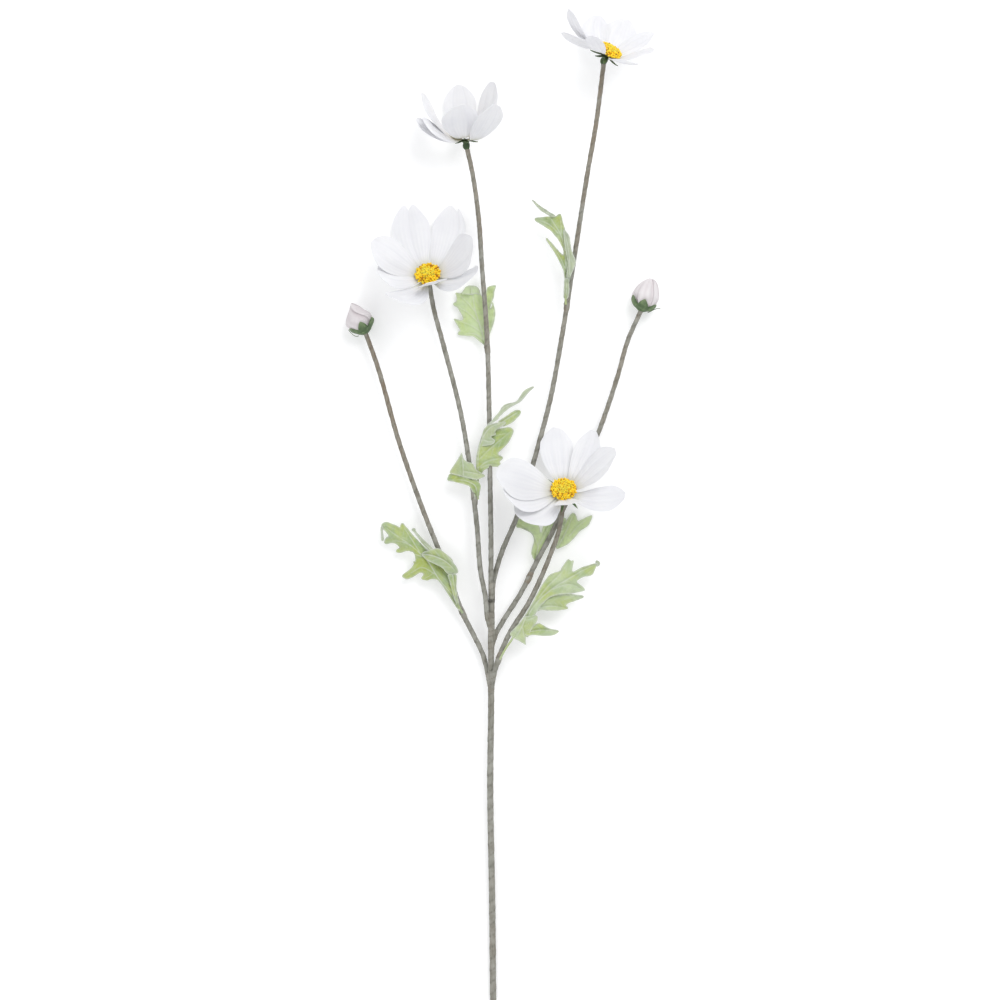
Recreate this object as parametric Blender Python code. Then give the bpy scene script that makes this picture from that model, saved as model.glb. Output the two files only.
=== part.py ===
"""A cut cosmos spray lying on its back: one stem, six side branches, six lobed
leaves, four open flower heads and two buds.

Lengths in the tables below are millimetres, measured from the cut end of the stem:
x across the spray, y along it towards the flowers, z up from the surface it lies on.
MM turns them into metres.  The part's origin is under the middle of the spray.
"""
import math

import bpy
from mathutils import Matrix, Vector
from mathutils.geometry import delaunay_2d_cdt

for old in list(bpy.data.objects):
    bpy.data.objects.remove(old, do_unlink=True)

MM = 0.001
SPRAY_MIDDLE = (7.7, 319.2)      # centre of the resting outline, becomes the origin
CLEARANCE = 0.3                  # gap between pieces that touch

# ---------------------------------------------------------------- stems
STEM_RADIUS = (2.1, 2.0)         # cut end, top
BRANCH_RADIUS = (1.65, 1.5)      # joint, flower neck
STEM_STEP = 12.0                 # spacing of the rings along a stem

STEM_ROUTE = [(1.4, -1.0, 2.1), (0.8, 60.5, 3.2), (-0.5, 143.4, 6.2), (0.1, 193.0, 8.0),
              (0.1, 234.0, 9.4), (0.5, 267.8, 10.6)]

BRANCH_ROUTES = {
    "bud_left": [(-1.6, 209.8, 5.0), (-5.2, 224.1, 5.0), (-11.7, 237.8, 5.1),
                 (-17.3, 248.8, 5.2), (-28.0, 277.5, 5.3), (-44.3, 318.5, 6.2),
                 (-59.2, 360.8, 7.2), (-75.4, 416.7, 8.6)],
    "flower_front": [(1.7, 210.7, 12.7), (4.6, 221.1, 12.6), (11.0, 236.3, 12.5),
                     (25.1, 259.4, 12.2), (39.0, 290.6, 11.3), (43.9, 304.5, 11.0),
                     (46.1, 315.5, 11.4)],
    "bud_right": [(3.1, 237.8, 7.0), (7.2, 245.2, 7.0), (19.9, 265.4, 7.0),
                  (29.1, 283.7, 6.7), (40.3, 304.8, 6.2), (48.2, 321.7, 6.0),
                  (69.9, 369.0, 6.6), (82.6, 406.3, 7.6), (89.1, 429.1, 8.5)],
    "flower_left": [(-2.3, 249.0, 12.6), (-3.6, 262.0, 12.4), (-6.4, 276.3, 12.0),
                    (-9.2, 308.8, 11.3), (-12.3, 335.4, 10.9), (-19.0, 378.3, 10.2),
                    (-31.5, 427.9, 9.0), (-37.5, 450.5, 8.2)],
    "flower_middle": [(0.1, 268.4, 12.6), (0.0, 301.0, 11.9), (-0.6, 337.3, 11.0),
                      (-1.1, 378.3, 10.0), (-2.9, 437.1, 9.6), (-5.7, 474.5, 10.5),
                      (-8.3, 510.7, 12.5), (-12.3, 538.5, 14.8)],
    "flower_top": [(1.0, 268.4, 8.7), (5.9, 287.9, 8.6), (16.7, 313.9, 8.3),
                   (30.1, 358.2, 7.6), (38.0, 388.1, 7.8), (46.8, 435.5, 9.6),
                   (54.9, 487.6, 13.4), (62.9, 538.8, 19.2), (68.0, 568.3, 23.0)],
}

# ---------------------------------------------------------------- flower heads
PETAL_THICKNESS = 0.4
PETAL_ROOT = 2.6                 # radius at which a petal starts
PETAL_FLAT = 0.16                # share of the length that lies flat under the disc
LAYER_TOP = -0.5                 # height of the upper petal layer, below the disc
LAYER_PITCH = 0.7                # spacing of the petal layers
LAYER_COUNT = 4                  # layers the petals of a head are shared out on
DISC_RADIUS = 8.3
DISC_HEIGHT = 5.0
KNOB_RADIUS = 2.3                # round green end of the calyx, where the stem enters
KNOB_DEPTH = 7.0                 # its centre below the disc
SEPAL_COUNT = 8
SEPAL_REACH = 10.0               # radius of the sepal tips
SEPAL_GAP = 4.4                  # radius of the notches between the sepals
CALYX_RADIUS = 3.2               # where the sepals leave the knob

# Each head: where its disc sits, the way it faces, and its petals, as
# (angle round the head, length, width, lift at the disc, lift at the tip, roll, layer);
# angles in degrees, layer 0 on top.
HEADS = {
    "flower_left": dict(
        centre=(-40.9, 471.0, 17.8), facing=(-0.10, 0.58, 0.81), petals=[
            (-17, 38, 22, 12, 20, -38, 2),
            (23, 38, 24, 20, 42, -10, 0),
            (64, 46, 24, 10, 26, 0, 2),
            (107, 46, 24, 10, 26, 0, 1),
            (157, 39, 24, 16, 34, 0, 0),
            (200, 35, 22, 12, 29, 0, 1),
            (241, 37, 24, 10, 27, 0, 2),
            (284, 30, 18, 30, 60, 0, 0)]),
    "flower_front": dict(
        centre=(47.0, 331.5, 21.5), facing=(0.0, 0.53, 0.85), petals=[
            (-21, 44, 23, 15, 30, 6, 3),
            (30, 41, 18, 19, 38, 0, 0),
            (58, 42, 20, 16, 31, 0, 1),
            (99, 42, 23, 13, 27, 0, 2),
            (169, 44, 27, 13, 29, 0, 0),
            (194, 41, 26, 9, 25, 0, 1),
            (222, 40, 27, 6, 21, 0, 3),
            (282, 30, 18, 28, 55, 0, 0)]),
    "flower_top": dict(
        centre=(76.2, 614.1, 32.0), facing=(0.449, 0.773, 0.438), petals=[
            (-24, 34, 20, 26, 44, 8, 0),
            (48, 37, 16, 15, 30, -4, 1),
            (76, 37, 26, 8, 22, 0, 2),
            (105, 38, 20, -2, 12, 0, 3),
            (164, 34, 18, 14, 30, 14, 1),
            (196, 34, 18, 0, 10, 24, 2),
            (240, 31, 22, 18, 42, 0, 0),
            (296, 28, 20, 10, 32, 0, 1)]),
    "flower_middle": dict(
        centre=(-16.8, 561.4, 19.8), facing=(-0.12, 0.96, 0.25), petals=[
            (-11, 35, 19, 38, 62, 0, 2),
            (39, 43, 17, 46, 62, 0, 1),
            (94, 42, 22, 52, 64, 0, 0),
            (150, 43, 19, 42, 56, 8, 1),
            (186, 33, 22, 14, 34, 4, 3),
            (214, 33, 21, 26, 44, 4, 2),
            (268, 40, 25, 44, 66, 0, 0),
            (304, 41, 26, 34, 56, 0, 3)]),
}

# ---------------------------------------------------------------- buds
# Each bud: where it sits on its branch and the point its tip is aimed at, its length
# and radius, and how blunt its tip is (1 is rounded, less is more pointed).
BUDS = {
    "bud_left": dict(base=(-81.4, 433.2, 9.3), tip=(-91.4, 454.1, 9.3),
                     length=22.0, radius=8.6, point=0.55),
    "bud_right": dict(base=(97.4, 447.9, 9.3), tip=(105.3, 470.3, 9.3),
                      length=22.0, radius=8.6, point=0.8),
}
BUD_CUP_HEIGHT = 7.0
BUD_CUP_WALL = 0.6

# ---------------------------------------------------------------- leaves
LEAF_THICKNESS = 0.5
PETIOLE_HALF_WIDTH = 0.8
LOBE_STEPS = 5

# Each leaf: points of its midrib from the branch to the tip, the share of it that is
# bare leaf stalk, the half width of the blade along it, and its lobes, as
# (place along the midrib 0..1, tip of the lobe, width).
LEAVES = {
    "bud_left": dict(
        midrib=[(-19.6, 254.7, 7.8), (-25.4, 263.9, 9.0), (-31.2, 273.3, 10.3),
                (-41.6, 286.0, 10.0), (-52.0, 295.1, 8.5), (-64.4, 304.8, 6.0),
                (-70.4, 309.7, 4.0)],
        stalk=0.10, blade=5.0, lobes=[
            (0.30, (-45.6, 273.9, 7.5), 7.5), (0.44, (-58.0, 274.8, 5.0), 7.0),
            (0.60, (-61.3, 291.9, 4.5), 6.0), (0.76, (-69.1, 298.6, 3.2), 6.5),
            (0.72, (-57.6, 310.4, 8.5), 5.0), (0.50, (-50.7, 306.5, 10.5), 3.6),
            (0.16, (-31.5, 289.9, 11.5), 11.5)]),
    "flower_middle": dict(
        midrib=[(-3.3, 424.9, 7.2), (-4.9, 430.4, 5.9), (-6.5, 435.7, 5.2),
                (-8.5, 443.5, 4.6), (-10.4, 451.3, 4.2), (-12.1, 457.2, 4.2),
                (-13.0, 463.0, 5.2)],
        stalk=0.06, blade=7.0, lobes=[
            (0.20, (-22.0, 433.9, 3.0), 5.5), (0.36, (-24.6, 443.2, 2.0), 8.5),
            (0.60, (-24.5, 453.1, 1.6), 8.5), (0.76, (-23.2, 459.6, 2.2), 8.0),
            (0.79, (-14.6, 464.6, 6.0), 12.0), (0.42, (2.0, 464.6, 5.2), 6.4),
            (0.16, (1.8, 452.7, 3.2), 8.0)]),
    "flower_top": dict(
        midrib=[(48.4, 454.9, 13.2), (48.4, 464.5, 14.6), (49.0, 472.9, 16.0),
                (48.3, 482.6, 16.6), (46.7, 491.7, 16.4), (44.1, 499.5, 15.4),
                (39.6, 506.8, 14.0), (34.4, 512.4, 12.5), (26.3, 520.0, 10.5)],
        stalk=0.22, blade=3.2, lobes=[
            (0.30, (36.2, 494.6, 13.0), 5.4), (0.56, (28.8, 507.3, 11.0), 8.4),
            (0.55, (45.3, 510.1, 17.0), 5.0), (0.24, (51.0, 494.5, 18.0), 7.0)]),
    "flower_left": dict(
        midrib=[(-8.1, 326.3, 11.2), (-7.5, 332.1, 12.4), (-8.4, 338.0, 13.8),
                (-7.8, 344.5, 14.6), (-6.2, 352.3, 15.0), (-3.2, 360.7, 15.0),
                (0.0, 368.5, 14.6), (3.9, 376.9, 13.8), (7.8, 384.1, 13.0),
                (14.3, 388.3, 12.2), (20.1, 393.2, 11.6), (27.3, 398.4, 11.0)],
        stalk=0.10, blade=3.8, lobes=[
            (0.11, (-28.4, 338.2, 13.2), 7.0), (0.15, (-23.6, 346.4, 14.6), 11.5),
            (0.18, (-19.2, 355.3, 15.5), 9.5), (0.15, (-3.6, 340.6, 15.0), 2.9),
            (0.26, (7.6, 351.8, 14.0), 9.5), (0.36, (14.4, 369.3, 13.0), 9.0),
            (0.50, (19.2, 382.8, 12.4), 7.0)]),
    "bud_right": dict(
        midrib=[(25.4, 274.9, 4.5), (29.9, 284.6, 3.9), (35.2, 295.0, 3.3),
                (39.1, 304.2, 2.9), (42.3, 314.6, 2.6), (44.3, 321.7, 2.6)],
        stalk=0.12, blade=2.8, lobes=[
            (0.28, (27.6, 286.2, 2.4), 6.0), (0.34, (17.2, 310.7, 1.2), 13.5),
            (0.50, (37.8, 312.0, 2.2), 8.0), (0.38, (53.8, 318.2, 1.6), 14.0),
            (0.44, (64.9, 314.8, 1.0), 10.0)]),
    "flower_front": dict(
        midrib=[(6.7, 223.1, 14.4), (10.4, 229.0, 15.0), (14.6, 235.1, 15.6),
                (19.5, 242.6, 16.0), (23.4, 249.8, 16.0), (27.3, 255.6, 16.0),
                (33.1, 261.1, 15.5), (42.2, 267.6, 14.5), (52.0, 274.4, 13.2),
                (61.1, 279.5, 11.8), (69.5, 283.4, 10.6)],
        stalk=0.15, blade=3.8, lobes=[
            (0.20, (12.4, 238.3, 15.8), 5.0), (0.19, (23.0, 231.1, 14.5), 5.0),
            (0.23, (24.5, 236.0, 14.8), 6.5), (0.25, (44.2, 239.9, 12.5), 10.0),
            (0.33, (30.3, 249.7, 15.0), 7.0), (0.42, (50.0, 255.3, 12.5), 7.5),
            (0.49, (60.4, 262.0, 11.8), 7.5), (0.60, (60.5, 266.7, 11.8), 8.8),
            (0.60, (51.4, 286.5, 13.2), 9.0), (0.46, (39.4, 277.2, 15.0), 11.0)]),
}

COLOURS = {
    "stem": (0.27, 0.27, 0.22), "leaf": (0.45, 0.55, 0.28), "petal": (0.90, 0.90, 0.92),
    "disc": (0.86, 0.62, 0.08), "calyx": (0.16, 0.24, 0.11), "bud": (0.74, 0.69, 0.71),
}


# ---------------------------------------------------------------- helpers
def finish(name, colour, roughness):
    """Give each piece a material of its own."""
    material = bpy.data.materials.new(name)
    material.use_nodes = True
    shader = material.node_tree.nodes["Principled BSDF"]
    shader.inputs["Base Color"].default_value = (*colour, 1.0)
    shader.inputs["Roughness"].default_value = roughness
    shader.inputs["Metallic"].default_value = 0.0
    return material


def add_object(name, data, parent, kind, roughness=0.85):
    """Link an object for one piece, with its own material."""
    piece = bpy.data.objects.new(name, data)
    bpy.context.collection.objects.link(piece)
    piece.parent = parent
    data.materials.append(finish(name + "_finish", COLOURS[kind], roughness))
    return piece


def mesh_from(name, points, faces):
    """Make a smooth-shaded mesh from points in millimetres."""
    mesh = bpy.data.meshes.new(name)
    mesh.from_pydata([Vector(p) * MM for p in points], [], faces)
    mesh.shade_smooth()
    return mesh


def thicken(piece, thickness):
    """Turn a sheet into a closed solid, half its thickness to each side."""
    solid = piece.modifiers.new("thickness", "SOLIDIFY")
    solid.thickness = thickness * MM
    solid.offset = 0.0


def smooth_route(points, step):
    """Points about one step apart on a smooth curve through the given points."""
    knots = [Vector(p) for p in points]
    spans = [(b - a).length for a, b in zip(knots, knots[1:])]
    slopes = [(b - a) / span for a, b, span in zip(knots, knots[1:], spans)]
    inner = [(s0 * d1 + s1 * d0) / (d0 + d1)
             for s0, s1, d0, d1 in zip(slopes, slopes[1:], spans, spans[1:])]
    tangents = [slopes[0], *inner, slopes[-1]]
    route = []
    for k, span in enumerate(spans):
        count = max(1, round(span / step))
        for n in range(count):
            t = n / count
            rise = t * t * (3 - 2 * t)
            bend = tangents[k] * t * (1 - t) ** 2 - tangents[k + 1] * t * t * (1 - t)
            route.append(knots[k].lerp(knots[k + 1], rise) + span * bend)
    route.append(knots[-1])
    return route


def facing_frame(centre, facing, parent, name):
    """An empty at a point, its Z axis along the way the head or bud faces."""
    z_axis = Vector(facing).normalized()
    x_axis = Vector((1, 0, 0)) - z_axis.x * z_axis
    x_axis.normalize()
    y_axis = z_axis.cross(x_axis)
    frame = bpy.data.objects.new(name, None)
    bpy.context.collection.objects.link(frame)
    frame.parent = parent
    frame.location = Vector(centre) * MM
    frame.rotation_euler = Matrix((x_axis, y_axis, z_axis)).transposed().to_euler()
    return frame


def turned(name, profile, segments, reach=None):
    """A closed solid turned about Z from (radius, height) pairs, bottom to top.

    The first and last points lie on the axis.  reach(k, radius, height) may move a
    ring's k-th point in or out and up or down."""
    points = [(0.0, 0.0, profile[0][1])]
    for radius, height in profile[1:-1]:
        for k in range(segments):
            angle = 2 * math.pi * k / segments
            r, h = reach(k, radius, height) if reach else (radius, height)
            points.append((r * math.cos(angle), r * math.sin(angle), h))
    points.append((0.0, 0.0, profile[-1][1]))
    last = len(points) - 1
    rings = len(profile) - 2
    faces = [(0, 1 + (k + 1) % segments, 1 + k) for k in range(segments)]
    for ring in range(rings - 1):
        low = 1 + ring * segments
        high = low + segments
        for k in range(segments):
            n = (k + 1) % segments
            faces.append((low + k, low + n, high + n, high + k))
    low = 1 + (rings - 1) * segments
    faces += [(low + k, low + (k + 1) % segments, last) for k in range(segments)]
    return mesh_from(name, points, faces)


# ---------------------------------------------------------------- stems
def route_to_seat(label):
    """A branch's route, led on to the knob or the bud that it carries."""
    route = list(BRANCH_ROUTES[label])
    if label in HEADS:
        head = HEADS[label]
        seat = Vector(head["centre"]) - Vector(head["facing"]).normalized() * KNOB_DEPTH
        standoff = KNOB_RADIUS + CLEARANCE
    else:
        seat = Vector(BUDS[label]["base"])
        standoff = CLEARANCE
    inward = (seat - Vector(route[-1])).normalized()
    return route + [seat - standoff * inward]


def make_stem(name, route, radii, parent):
    """A tapering round stem along a smooth route, closed at both ends."""
    points = smooth_route(route, STEM_STEP)
    curve = bpy.data.curves.new(name, "CURVE")
    curve.dimensions = "3D"
    curve.bevel_depth = MM
    curve.bevel_resolution = 2
    curve.use_fill_caps = True
    spline = curve.splines.new("POLY")
    spline.points.add(len(points) - 1)
    spline.use_smooth = True
    for k, point in enumerate(points):
        share = k / (len(points) - 1)
        spline.points[k].co = (*(point * MM), 1.0)
        spline.points[k].radius = radii[0] + (radii[1] - radii[0]) * share
    add_object(name, curve, parent, "stem", 0.9)


# ---------------------------------------------------------------- flower heads
def petal_half_width(share, width):
    """Half width along a petal: a narrow claw, widest past the middle, round tip."""
    claw, widest, tip = 0.10, 0.64, 0.60
    if share < widest:
        grown = math.sin(0.5 * math.pi * share / widest) ** 1.1
        return 0.5 * width * (claw + (1 - claw) * grown)
    fall = math.cos(0.5 * math.pi * (share - widest) / (1 - widest))
    return 0.5 * width * (tip + (1 - tip) * fall)


def petal_mesh(name, length, width, lift, tip_lift, roll, layer):
    """A petal pointing along +X, with its upper side up."""
    rows, columns, fine = 5, 4, 60
    rounding, notch, notch_width = 0.16, 0.05, 0.16
    camber = 0.05 - 0.02 * layer
    lift, tip_lift, roll = (math.radians(a) for a in (lift, tip_lift, roll))

    def slope(share):
        rise = min(1.0, max(0.0, share / PETAL_FLAT - 0.5))
        return rise * (lift + (tip_lift - lift) * share)

    spine = [Vector((PETAL_ROOT, 0.0, LAYER_TOP - LAYER_PITCH * layer))]
    for k in range(fine):
        angle = slope((k + 0.5) / fine)
        spine.append(spine[-1] + Vector((math.cos(angle), 0, math.sin(angle))) * length / fine)
    points = []
    for row in range(rows + 1):
        for column in range(columns + 1):
            across = 2 * column / columns - 1
            cut = rounding * abs(across) ** 2.6
            cut += notch * math.exp(-(across / notch_width) ** 2)
            along = row / rows
            along *= 1 - cut * along ** 2
            place = spine[round(along * fine)]
            angle = slope(along)
            turn = roll * min(1.0, along / PETAL_FLAT / 2)
            normal = Vector((-math.sin(angle), 0.0, math.cos(angle)))
            side = Vector((0, math.cos(turn), 0)) + math.sin(turn) * normal
            normal = math.cos(turn) * normal - Vector((0, math.sin(turn), 0))
            cup = camber * width * across ** 2 * along ** 0.7
            points.append(place + side * petal_half_width(along, width) * across + normal * cup)
    faces = []
    stride = columns + 1
    for row in range(rows):
        for column in range(columns):
            a = row * stride + column
            faces.append((a, a + stride, a + stride + 1, a + 1))
    return mesh_from(name, points, faces)


def make_disc(name, frame):
    """The domed disc of florets, pulled in underneath where the petals pass."""
    r, h = DISC_RADIUS, DISC_HEIGHT
    profile = [(0, 0), (0.45 * r, 0), (0.92 * r, 0.30 * h), (r, 0.50 * h),
               (0.80 * r, 0.80 * h), (0.45 * r, 0.96 * h), (0, h)]
    add_object(name, turned(name, profile, 16), frame, "disc")


def make_calyx(name, frame):
    """The green knob that the stem enters, with its ring of narrow sepals."""
    top = LAYER_TOP - (LAYER_COUNT - 1) * LAYER_PITCH - PETAL_THICKNESS / 2 - CLEARANCE
    thickness, tip_thickness, droop = 1.2, 0.4, 1.4

    def sepals(k, radius, height):
        notch = radius == SEPAL_REACH and k % 2 == 1
        return (SEPAL_GAP, height + 0.5) if notch else (radius, height)

    knob = [(KNOB_RADIUS * math.sin(a), -KNOB_DEPTH - KNOB_RADIUS * math.cos(a))
            for a in (math.radians(30 * k) for k in range(5))]
    profile = [*knob, (CALYX_RADIUS, top - thickness), (SEPAL_REACH, top - droop - tip_thickness),
               (SEPAL_REACH, top - droop), (CALYX_RADIUS, top), (0, top)]
    mesh = turned(name, profile, 2 * SEPAL_COUNT, sepals)
    add_object(name, mesh, frame, "calyx")


def make_head(name, head, parent):
    """One open flower: overlapping petals between its disc and its calyx."""
    frame = facing_frame(head["centre"], head["facing"], parent, name + "_frame")
    for number, (angle, *shape) in enumerate(head["petals"], start=1):
        label = f"{name}_petal_{number}"
        petal = add_object(label, petal_mesh(label, *shape), frame, "petal")
        petal.rotation_euler = (0, 0, math.radians(angle))
        thicken(petal, PETAL_THICKNESS)
    make_disc(name + "_disc", frame)
    make_calyx(name + "_calyx", frame)


# ---------------------------------------------------------------- buds
def make_bud(name, bud, parent):
    """A closed bud: wrapped petals in a green cup with pointed lobes."""
    base, tip = Vector(bud["base"]), Vector(bud["tip"])
    frame = facing_frame(base, tip - base, parent, name + "_frame")
    radius, length, point = bud["radius"], bud["length"], bud["point"]
    seat = BUD_CUP_WALL + CLEARANCE

    def body(share):
        belly = math.sin(math.pi * share ** 0.8) ** 0.65
        return radius * belly * (1 + (point - 1) * max(0.0, share - 0.45) / 0.55)

    shares = [0.08, 0.2, 0.35, 0.5, 0.65, 0.8, 0.92]
    profile = [(0, seat)] + [(body(s), seat + s * (length - seat)) for s in shares]
    profile.append((0, length))
    add_object(name + "_petals", turned(name, profile, 14), frame, "bud")

    def lobes(k, r, h):
        return (r, h - 2.6) if h > BUD_CUP_HEIGHT - 0.1 and k % 2 else (r, h)

    inner = [(body(s) + CLEARANCE, seat + s * (length - seat) - CLEARANCE)
             for s in (0.08, 0.16)]
    rim = (body(0.3) + CLEARANCE, BUD_CUP_HEIGHT)
    outer = [(r + BUD_CUP_WALL, h - BUD_CUP_WALL) for r, h in inner]
    profile = [(0, 0), (1.8, 0), *outer, (rim[0] + BUD_CUP_WALL, rim[1]), rim,
               *reversed(inner), (0, seat - CLEARANCE)]
    add_object(name + "_calyx", turned(name + "_cup", profile, 14, lobes), frame, "calyx")


# ---------------------------------------------------------------- leaves
def flat(vector):
    return Vector((vector.x, vector.y))


def outline_round(axis, half_widths):
    """Closed outline of a strip that follows an axis with a varying half width."""
    left, right = [], []
    for k, point in enumerate(axis):
        ahead = axis[min(k + 1, len(axis) - 1)] - axis[max(k - 1, 0)]
        across = Vector((-ahead.y, ahead.x)).normalized()
        left.append(flat(point) + across * half_widths[k])
        right.append(flat(point) - across * half_widths[k])
    return right + left[::-1]


def lobe_axis(midrib, place, tip, count):
    """A lobe's own rib: leaves the midrib forwards and bends out to its tip."""
    index = min(len(midrib) - 2, int(place * (len(midrib) - 1)))
    start = midrib[index]
    tip = Vector(tip)
    forward = (midrib[index + 1] - start).normalized()
    bend = start.lerp(tip, 0.5) + forward * 0.15 * (tip - start).length
    return [start.lerp(bend, t).lerp(bend.lerp(tip, t), t)
            for t in (k / count for k in range(count + 1))]


def leaf_mesh(name, leaf):
    """A lobed blade: the strip along the midrib and its lobes, joined as one sheet."""
    midrib = smooth_route(leaf["midrib"], 4.0)
    count = len(midrib) - 1
    widths = []
    for k in range(count + 1):
        share = max(0.0, (k / count - leaf["stalk"]) / (1 - leaf["stalk"]))
        swell = math.sin(math.pi * share ** 0.85) ** 0.7 if 0 < share < 1 else 0.0
        widths.append(max(leaf["blade"] * swell, PETIOLE_HALF_WIDTH * (1 - 0.6 * share)))
    axes = [midrib]
    outlines = [outline_round(midrib, widths)]
    for place, tip, width in leaf["lobes"]:
        axis = lobe_axis(midrib, place, tip, LOBE_STEPS)
        axes.append(axis)
        lobe_widths = [0.5 * width * (0.8 + 0.2 * math.sin(math.pi * t)) * (1 - t ** 4) ** 0.7 + 0.2
                       for t in (k / LOBE_STEPS for k in range(LOBE_STEPS + 1))]
        outlines.append(outline_round(axis, lobe_widths))

    corners, faces = [], []
    for outline in outlines:
        faces.append(list(range(len(corners), len(corners) + len(outline))))
        corners += outline
    sheet_points, _, triangles, *_ = delaunay_2d_cdt(corners, [], faces, 1, 0.02)
    used = sorted({v for triangle in triangles for v in triangle})
    renumber = {old: new for new, old in enumerate(used)}
    points = []
    for old in used:
        x, y = sheet_points[old]
        weights, heights = 0.0, 0.0
        for axis in axes:
            near = min(axis, key=lambda p: (p.x - x) ** 2 + (p.y - y) ** 2)
            weight = 1 / ((near.x - x) ** 2 + (near.y - y) ** 2 + 1.0) ** 2
            weights += weight
            heights += weight * near.z
        points.append((x, y, heights / weights))
    return mesh_from(name, points, [[renumber[v] for v in t] for t in triangles])


def make_leaf(name, leaf, parent):
    piece = add_object(name, leaf_mesh(name, leaf), parent, "leaf")
    thicken(piece, LEAF_THICKNESS)


# ---------------------------------------------------------------- the spray
spray = bpy.data.objects.new("spray", None)
bpy.context.collection.objects.link(spray)
spray.location = (-SPRAY_MIDDLE[0] * MM, -SPRAY_MIDDLE[1] * MM, 0.0)

make_stem("stem", STEM_ROUTE, STEM_RADIUS, spray)
for label in BRANCH_ROUTES:
    make_stem("branch_" + label, route_to_seat(label), BRANCH_RADIUS, spray)
for label, leaf in LEAVES.items():
    make_leaf("leaf_" + label, leaf, spray)
for label, head in HEADS.items():
    make_head(label, head, spray)
for label, bud in BUDS.items():
    make_bud(label, bud, spray)
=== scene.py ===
"""The looks of the artificial cosmos spray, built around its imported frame.

Tables are in millimetres on the spray, as in the part's own source: x across it, y along
it from the cut end, z up from the surface it lies on.  Points stay in those millimetres
until add_piece() turns them into the frame's metres.
"""

import math
import random

import bpy
import numpy as np
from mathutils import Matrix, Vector


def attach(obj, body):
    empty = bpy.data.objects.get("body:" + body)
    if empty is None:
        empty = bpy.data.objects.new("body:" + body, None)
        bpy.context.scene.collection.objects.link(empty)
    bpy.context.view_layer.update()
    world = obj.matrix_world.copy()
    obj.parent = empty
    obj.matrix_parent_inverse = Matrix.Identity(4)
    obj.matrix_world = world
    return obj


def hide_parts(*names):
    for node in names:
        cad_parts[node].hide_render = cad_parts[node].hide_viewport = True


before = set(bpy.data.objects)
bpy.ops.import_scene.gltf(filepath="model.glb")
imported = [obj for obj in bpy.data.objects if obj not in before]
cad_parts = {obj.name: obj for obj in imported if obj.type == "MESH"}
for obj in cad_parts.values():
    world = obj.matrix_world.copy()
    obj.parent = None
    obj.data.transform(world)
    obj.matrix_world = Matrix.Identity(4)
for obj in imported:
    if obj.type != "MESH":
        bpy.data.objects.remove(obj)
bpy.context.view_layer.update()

MM = 0.001
SPRAY_MIDDLE = (7.7, 319.2)      # the point of the spray that is the frame's origin
SHARP_ANGLE = 50                 # faces that meet at more degrees than this show an edge

# ---------------------------------------------------------------- stems
STEM_RADIUS = (2.1, 2.0)
BRANCH_RADIUS = (1.65, 1.5)
STEM_SIDES = 16
STEM_STEP = 1.3                  # distance from one ring of points to the next
STEM_END = (0.98, 0.92, 0.8, 0.6)    # how the stem's last rings close over its top
BRANCH_BURIED = 9.0              # how far down inside the stem a branch starts
TAPE_PITCH = 7.5                 # advance of the wrapped tape in one turn
TAPE_EDGE = 0.09                 # how far the tape's lapped edge stands up

STEM_ROUTE = [(1.4, -1.0, 2.1), (0.8, 60.5, 3.2), (-0.5, 143.4, 6.2), (0.1, 193.0, 8.0),
              (0.1, 234.0, 9.4), (0.5, 267.8, 10.6)]

BRANCH_ROUTES = {
    "bud_left": [(-1.6, 209.8, 5.0), (-5.2, 224.1, 5.0), (-11.7, 237.8, 5.1),
                 (-17.3, 248.8, 5.2), (-28.0, 277.5, 5.3), (-44.3, 318.5, 6.2),
                 (-59.2, 360.8, 7.2), (-75.4, 416.7, 8.6)],
    "flower_front": [(1.7, 210.7, 12.7), (4.6, 221.1, 12.6), (11.0, 236.3, 12.5),
                     (25.1, 259.4, 12.2), (39.0, 290.6, 11.3), (43.9, 304.5, 11.0),
                     (46.1, 315.5, 11.4)],
    "bud_right": [(3.1, 237.8, 7.0), (7.2, 245.2, 7.0), (19.9, 265.4, 7.0),
                  (29.1, 283.7, 6.7), (40.3, 304.8, 6.2), (48.2, 321.7, 6.0),
                  (69.9, 369.0, 6.6), (82.6, 406.3, 7.6), (89.1, 429.1, 8.5)],
    "flower_left": [(-2.3, 249.0, 12.6), (-3.6, 262.0, 12.4), (-6.4, 276.3, 12.0),
                    (-9.2, 308.8, 11.3), (-12.3, 335.4, 10.9), (-19.0, 378.3, 10.2),
                    (-31.5, 427.9, 9.0), (-37.5, 450.5, 8.2)],
    "flower_middle": [(0.1, 268.4, 12.6), (0.0, 301.0, 11.9), (-0.6, 337.3, 11.0),
                      (-1.1, 378.3, 10.0), (-2.9, 437.1, 9.6), (-5.7, 474.5, 10.5),
                      (-8.3, 510.7, 12.5), (-12.3, 538.5, 14.8)],
    "flower_top": [(1.0, 268.4, 8.7), (5.9, 287.9, 8.6), (16.7, 313.9, 8.3),
                   (30.1, 358.2, 7.6), (38.0, 388.1, 7.8), (46.8, 435.5, 9.6),
                   (54.9, 487.6, 13.4), (62.9, 538.8, 19.2), (68.0, 568.3, 23.0)],
}
# how brown the tape has aged at the top of each branch
BRANCH_BROWN = {"bud_left": 0.9, "flower_front": 0.7, "bud_right": 0.5,
                "flower_left": 0.2, "flower_middle": 0.6, "flower_top": 0.75}

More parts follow.
